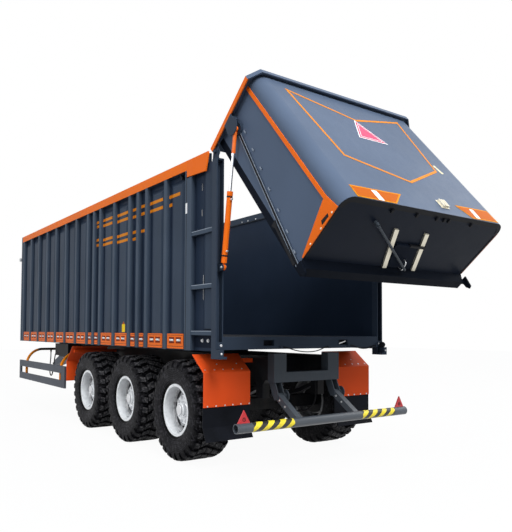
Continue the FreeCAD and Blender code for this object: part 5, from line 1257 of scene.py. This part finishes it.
def make_panel_latch():
    """A square plate with three upright slats, its edges broken."""
    latch = Builder()
    x, z = LATCH
    latch.prism(flat(oblong(about(x, LATCH_HALF), about(z, LATCH_HALF))), (0, -LATCH_PLATE, 0))
    for shift in LATCH_SLATS:
        slat = oblong(about(x + shift, LATCH_SLAT_HALF), (z - 0.050, z + 0.052))
        latch.prism(flat(slat, LATCH_PLATE), (0, -LATCH_SLAT_REACH, 0))
    edges = latch.piece("panel_latch", "galvanised", "tailgate").modifiers.new("edges", "BEVEL")
    edges.width = 0.002
    edges.segments = 2
    edges.limit_method = "ANGLE"


def make_tail_fittings():
    clips, trim, dark, bolts = (Builder() for _ in range(4))
    for side in SIDES:
        add_tail_side(side, clips, trim, dark, bolts)
    add_tail_bottom(dark)
    clips.piece("tail_rib_clips", "pale_trim_and_highlight", "tailgate")
    trim.piece("tail_rib_edge_highlights", "pale_trim_and_highlight", "tailgate")
    dark.piece("tail_dark_parts_and_edge_shade", "black_paint", "tailgate")
    bolts.piece("tail_bolts", "galvanised", "tailgate")
    handle = [at(x, y, TAIL_BOTTOM - drop) for x, y, drop in HANDLE]
    tube("hatch_handle", handle, 0.007, "zinc", "tailgate")
    make_panel_latch()


# The tail cylinders' barrels: rings and ports from the lower eye, and a ring's outline as (along, radius)
BARREL_RINGS = (0.120, 0.735)
BARREL_PORTS = (0.165, 0.705)
BARREL_RING = ((-0.008, 0.029), (-0.008, 0.0315), (0.008, 0.0315), (0.008, 0.029))


def make_cylinder_fittings():
    """Ports, rings and pins on the tailgate's cylinders."""
    low = at(0, *LOW_EYE)
    along = (tail_point(0, *UPPER_EYE) - low).normalized()
    pins = Builder()
    for name, side in (("left", -1.0), ("right", 1.0)):
        foot = low + Vector((side * CYLINDER_X, 0, 0))
        rings, ports = Builder(), Builder()
        for distance in BARREL_RINGS:
            rings.lathe(BARREL_RING, foot + along * distance, along, 28, True)
        for distance in BARREL_PORTS:
            centre = foot + along * distance
            ports.disc(centre + Vector((0, -0.028, 0)), (0, -1, 0), 0.012, 0.020, 12)
            ports.disc(centre + Vector((0, -0.048, 0)), (0, -1, 0), 0.009, 0.010, 6)
        rings.piece(f"barrel_rings_{name}", "black_paint", f"tail_cylinder_{name}")
        ports.piece(f"barrel_ports_{name}", "zinc", f"tail_cylinder_{name}")
        pins.bolt(foot + Vector((side * 0.0252, 0, 0)), (side, 0, 0), 0.014)
    pins.piece("cylinder_pins", "zinc")


# Inside of the side walls, under the rail: a black strip of painted shadow, and the small lit holes over it
RAIL_SHADOW_SPAN = (0.700, 5.600)
RAIL_SHADOW_HEIGHTS = (3.362, 3.372)
RAIL_HOLES = (0.980, 1.900, 2.689, 2.906, 3.085)


def make_rail_shadow_and_holes():
    """A black strip of painted shadow under the rail on the inside of both walls, and its small lit holes.
    """
    groove, holes = Builder(), Builder()
    for side in SIDES:
        # Black strip painted as the shadow between the rail and the wall
        groove.slab((1.1800, 1.1790), RAIL_SHADOW_SPAN, RAIL_SHADOW_HEIGHTS, side)
        for y in RAIL_HOLES:
            holes.disc(at(side * 1.1800, y, 3.392), (-side, 0, 0), 0.012, 0.0012, 12)
    groove.piece("rail_shadow_strips", "black_paint")
    holes.piece("rail_holes", "white_line")


make_camera()
make_cords()
make_stage()
make_light()
dress_nodes()
make_wheels()
make_artwork()
make_dashes()
make_wall_fittings()
make_front_lamps()
make_mudguard_fittings()
make_rear_fittings()
make_bumper_fittings()
make_brakes()
make_tail_fittings()
make_cylinder_fittings()
make_rail_shadow_and_holes()
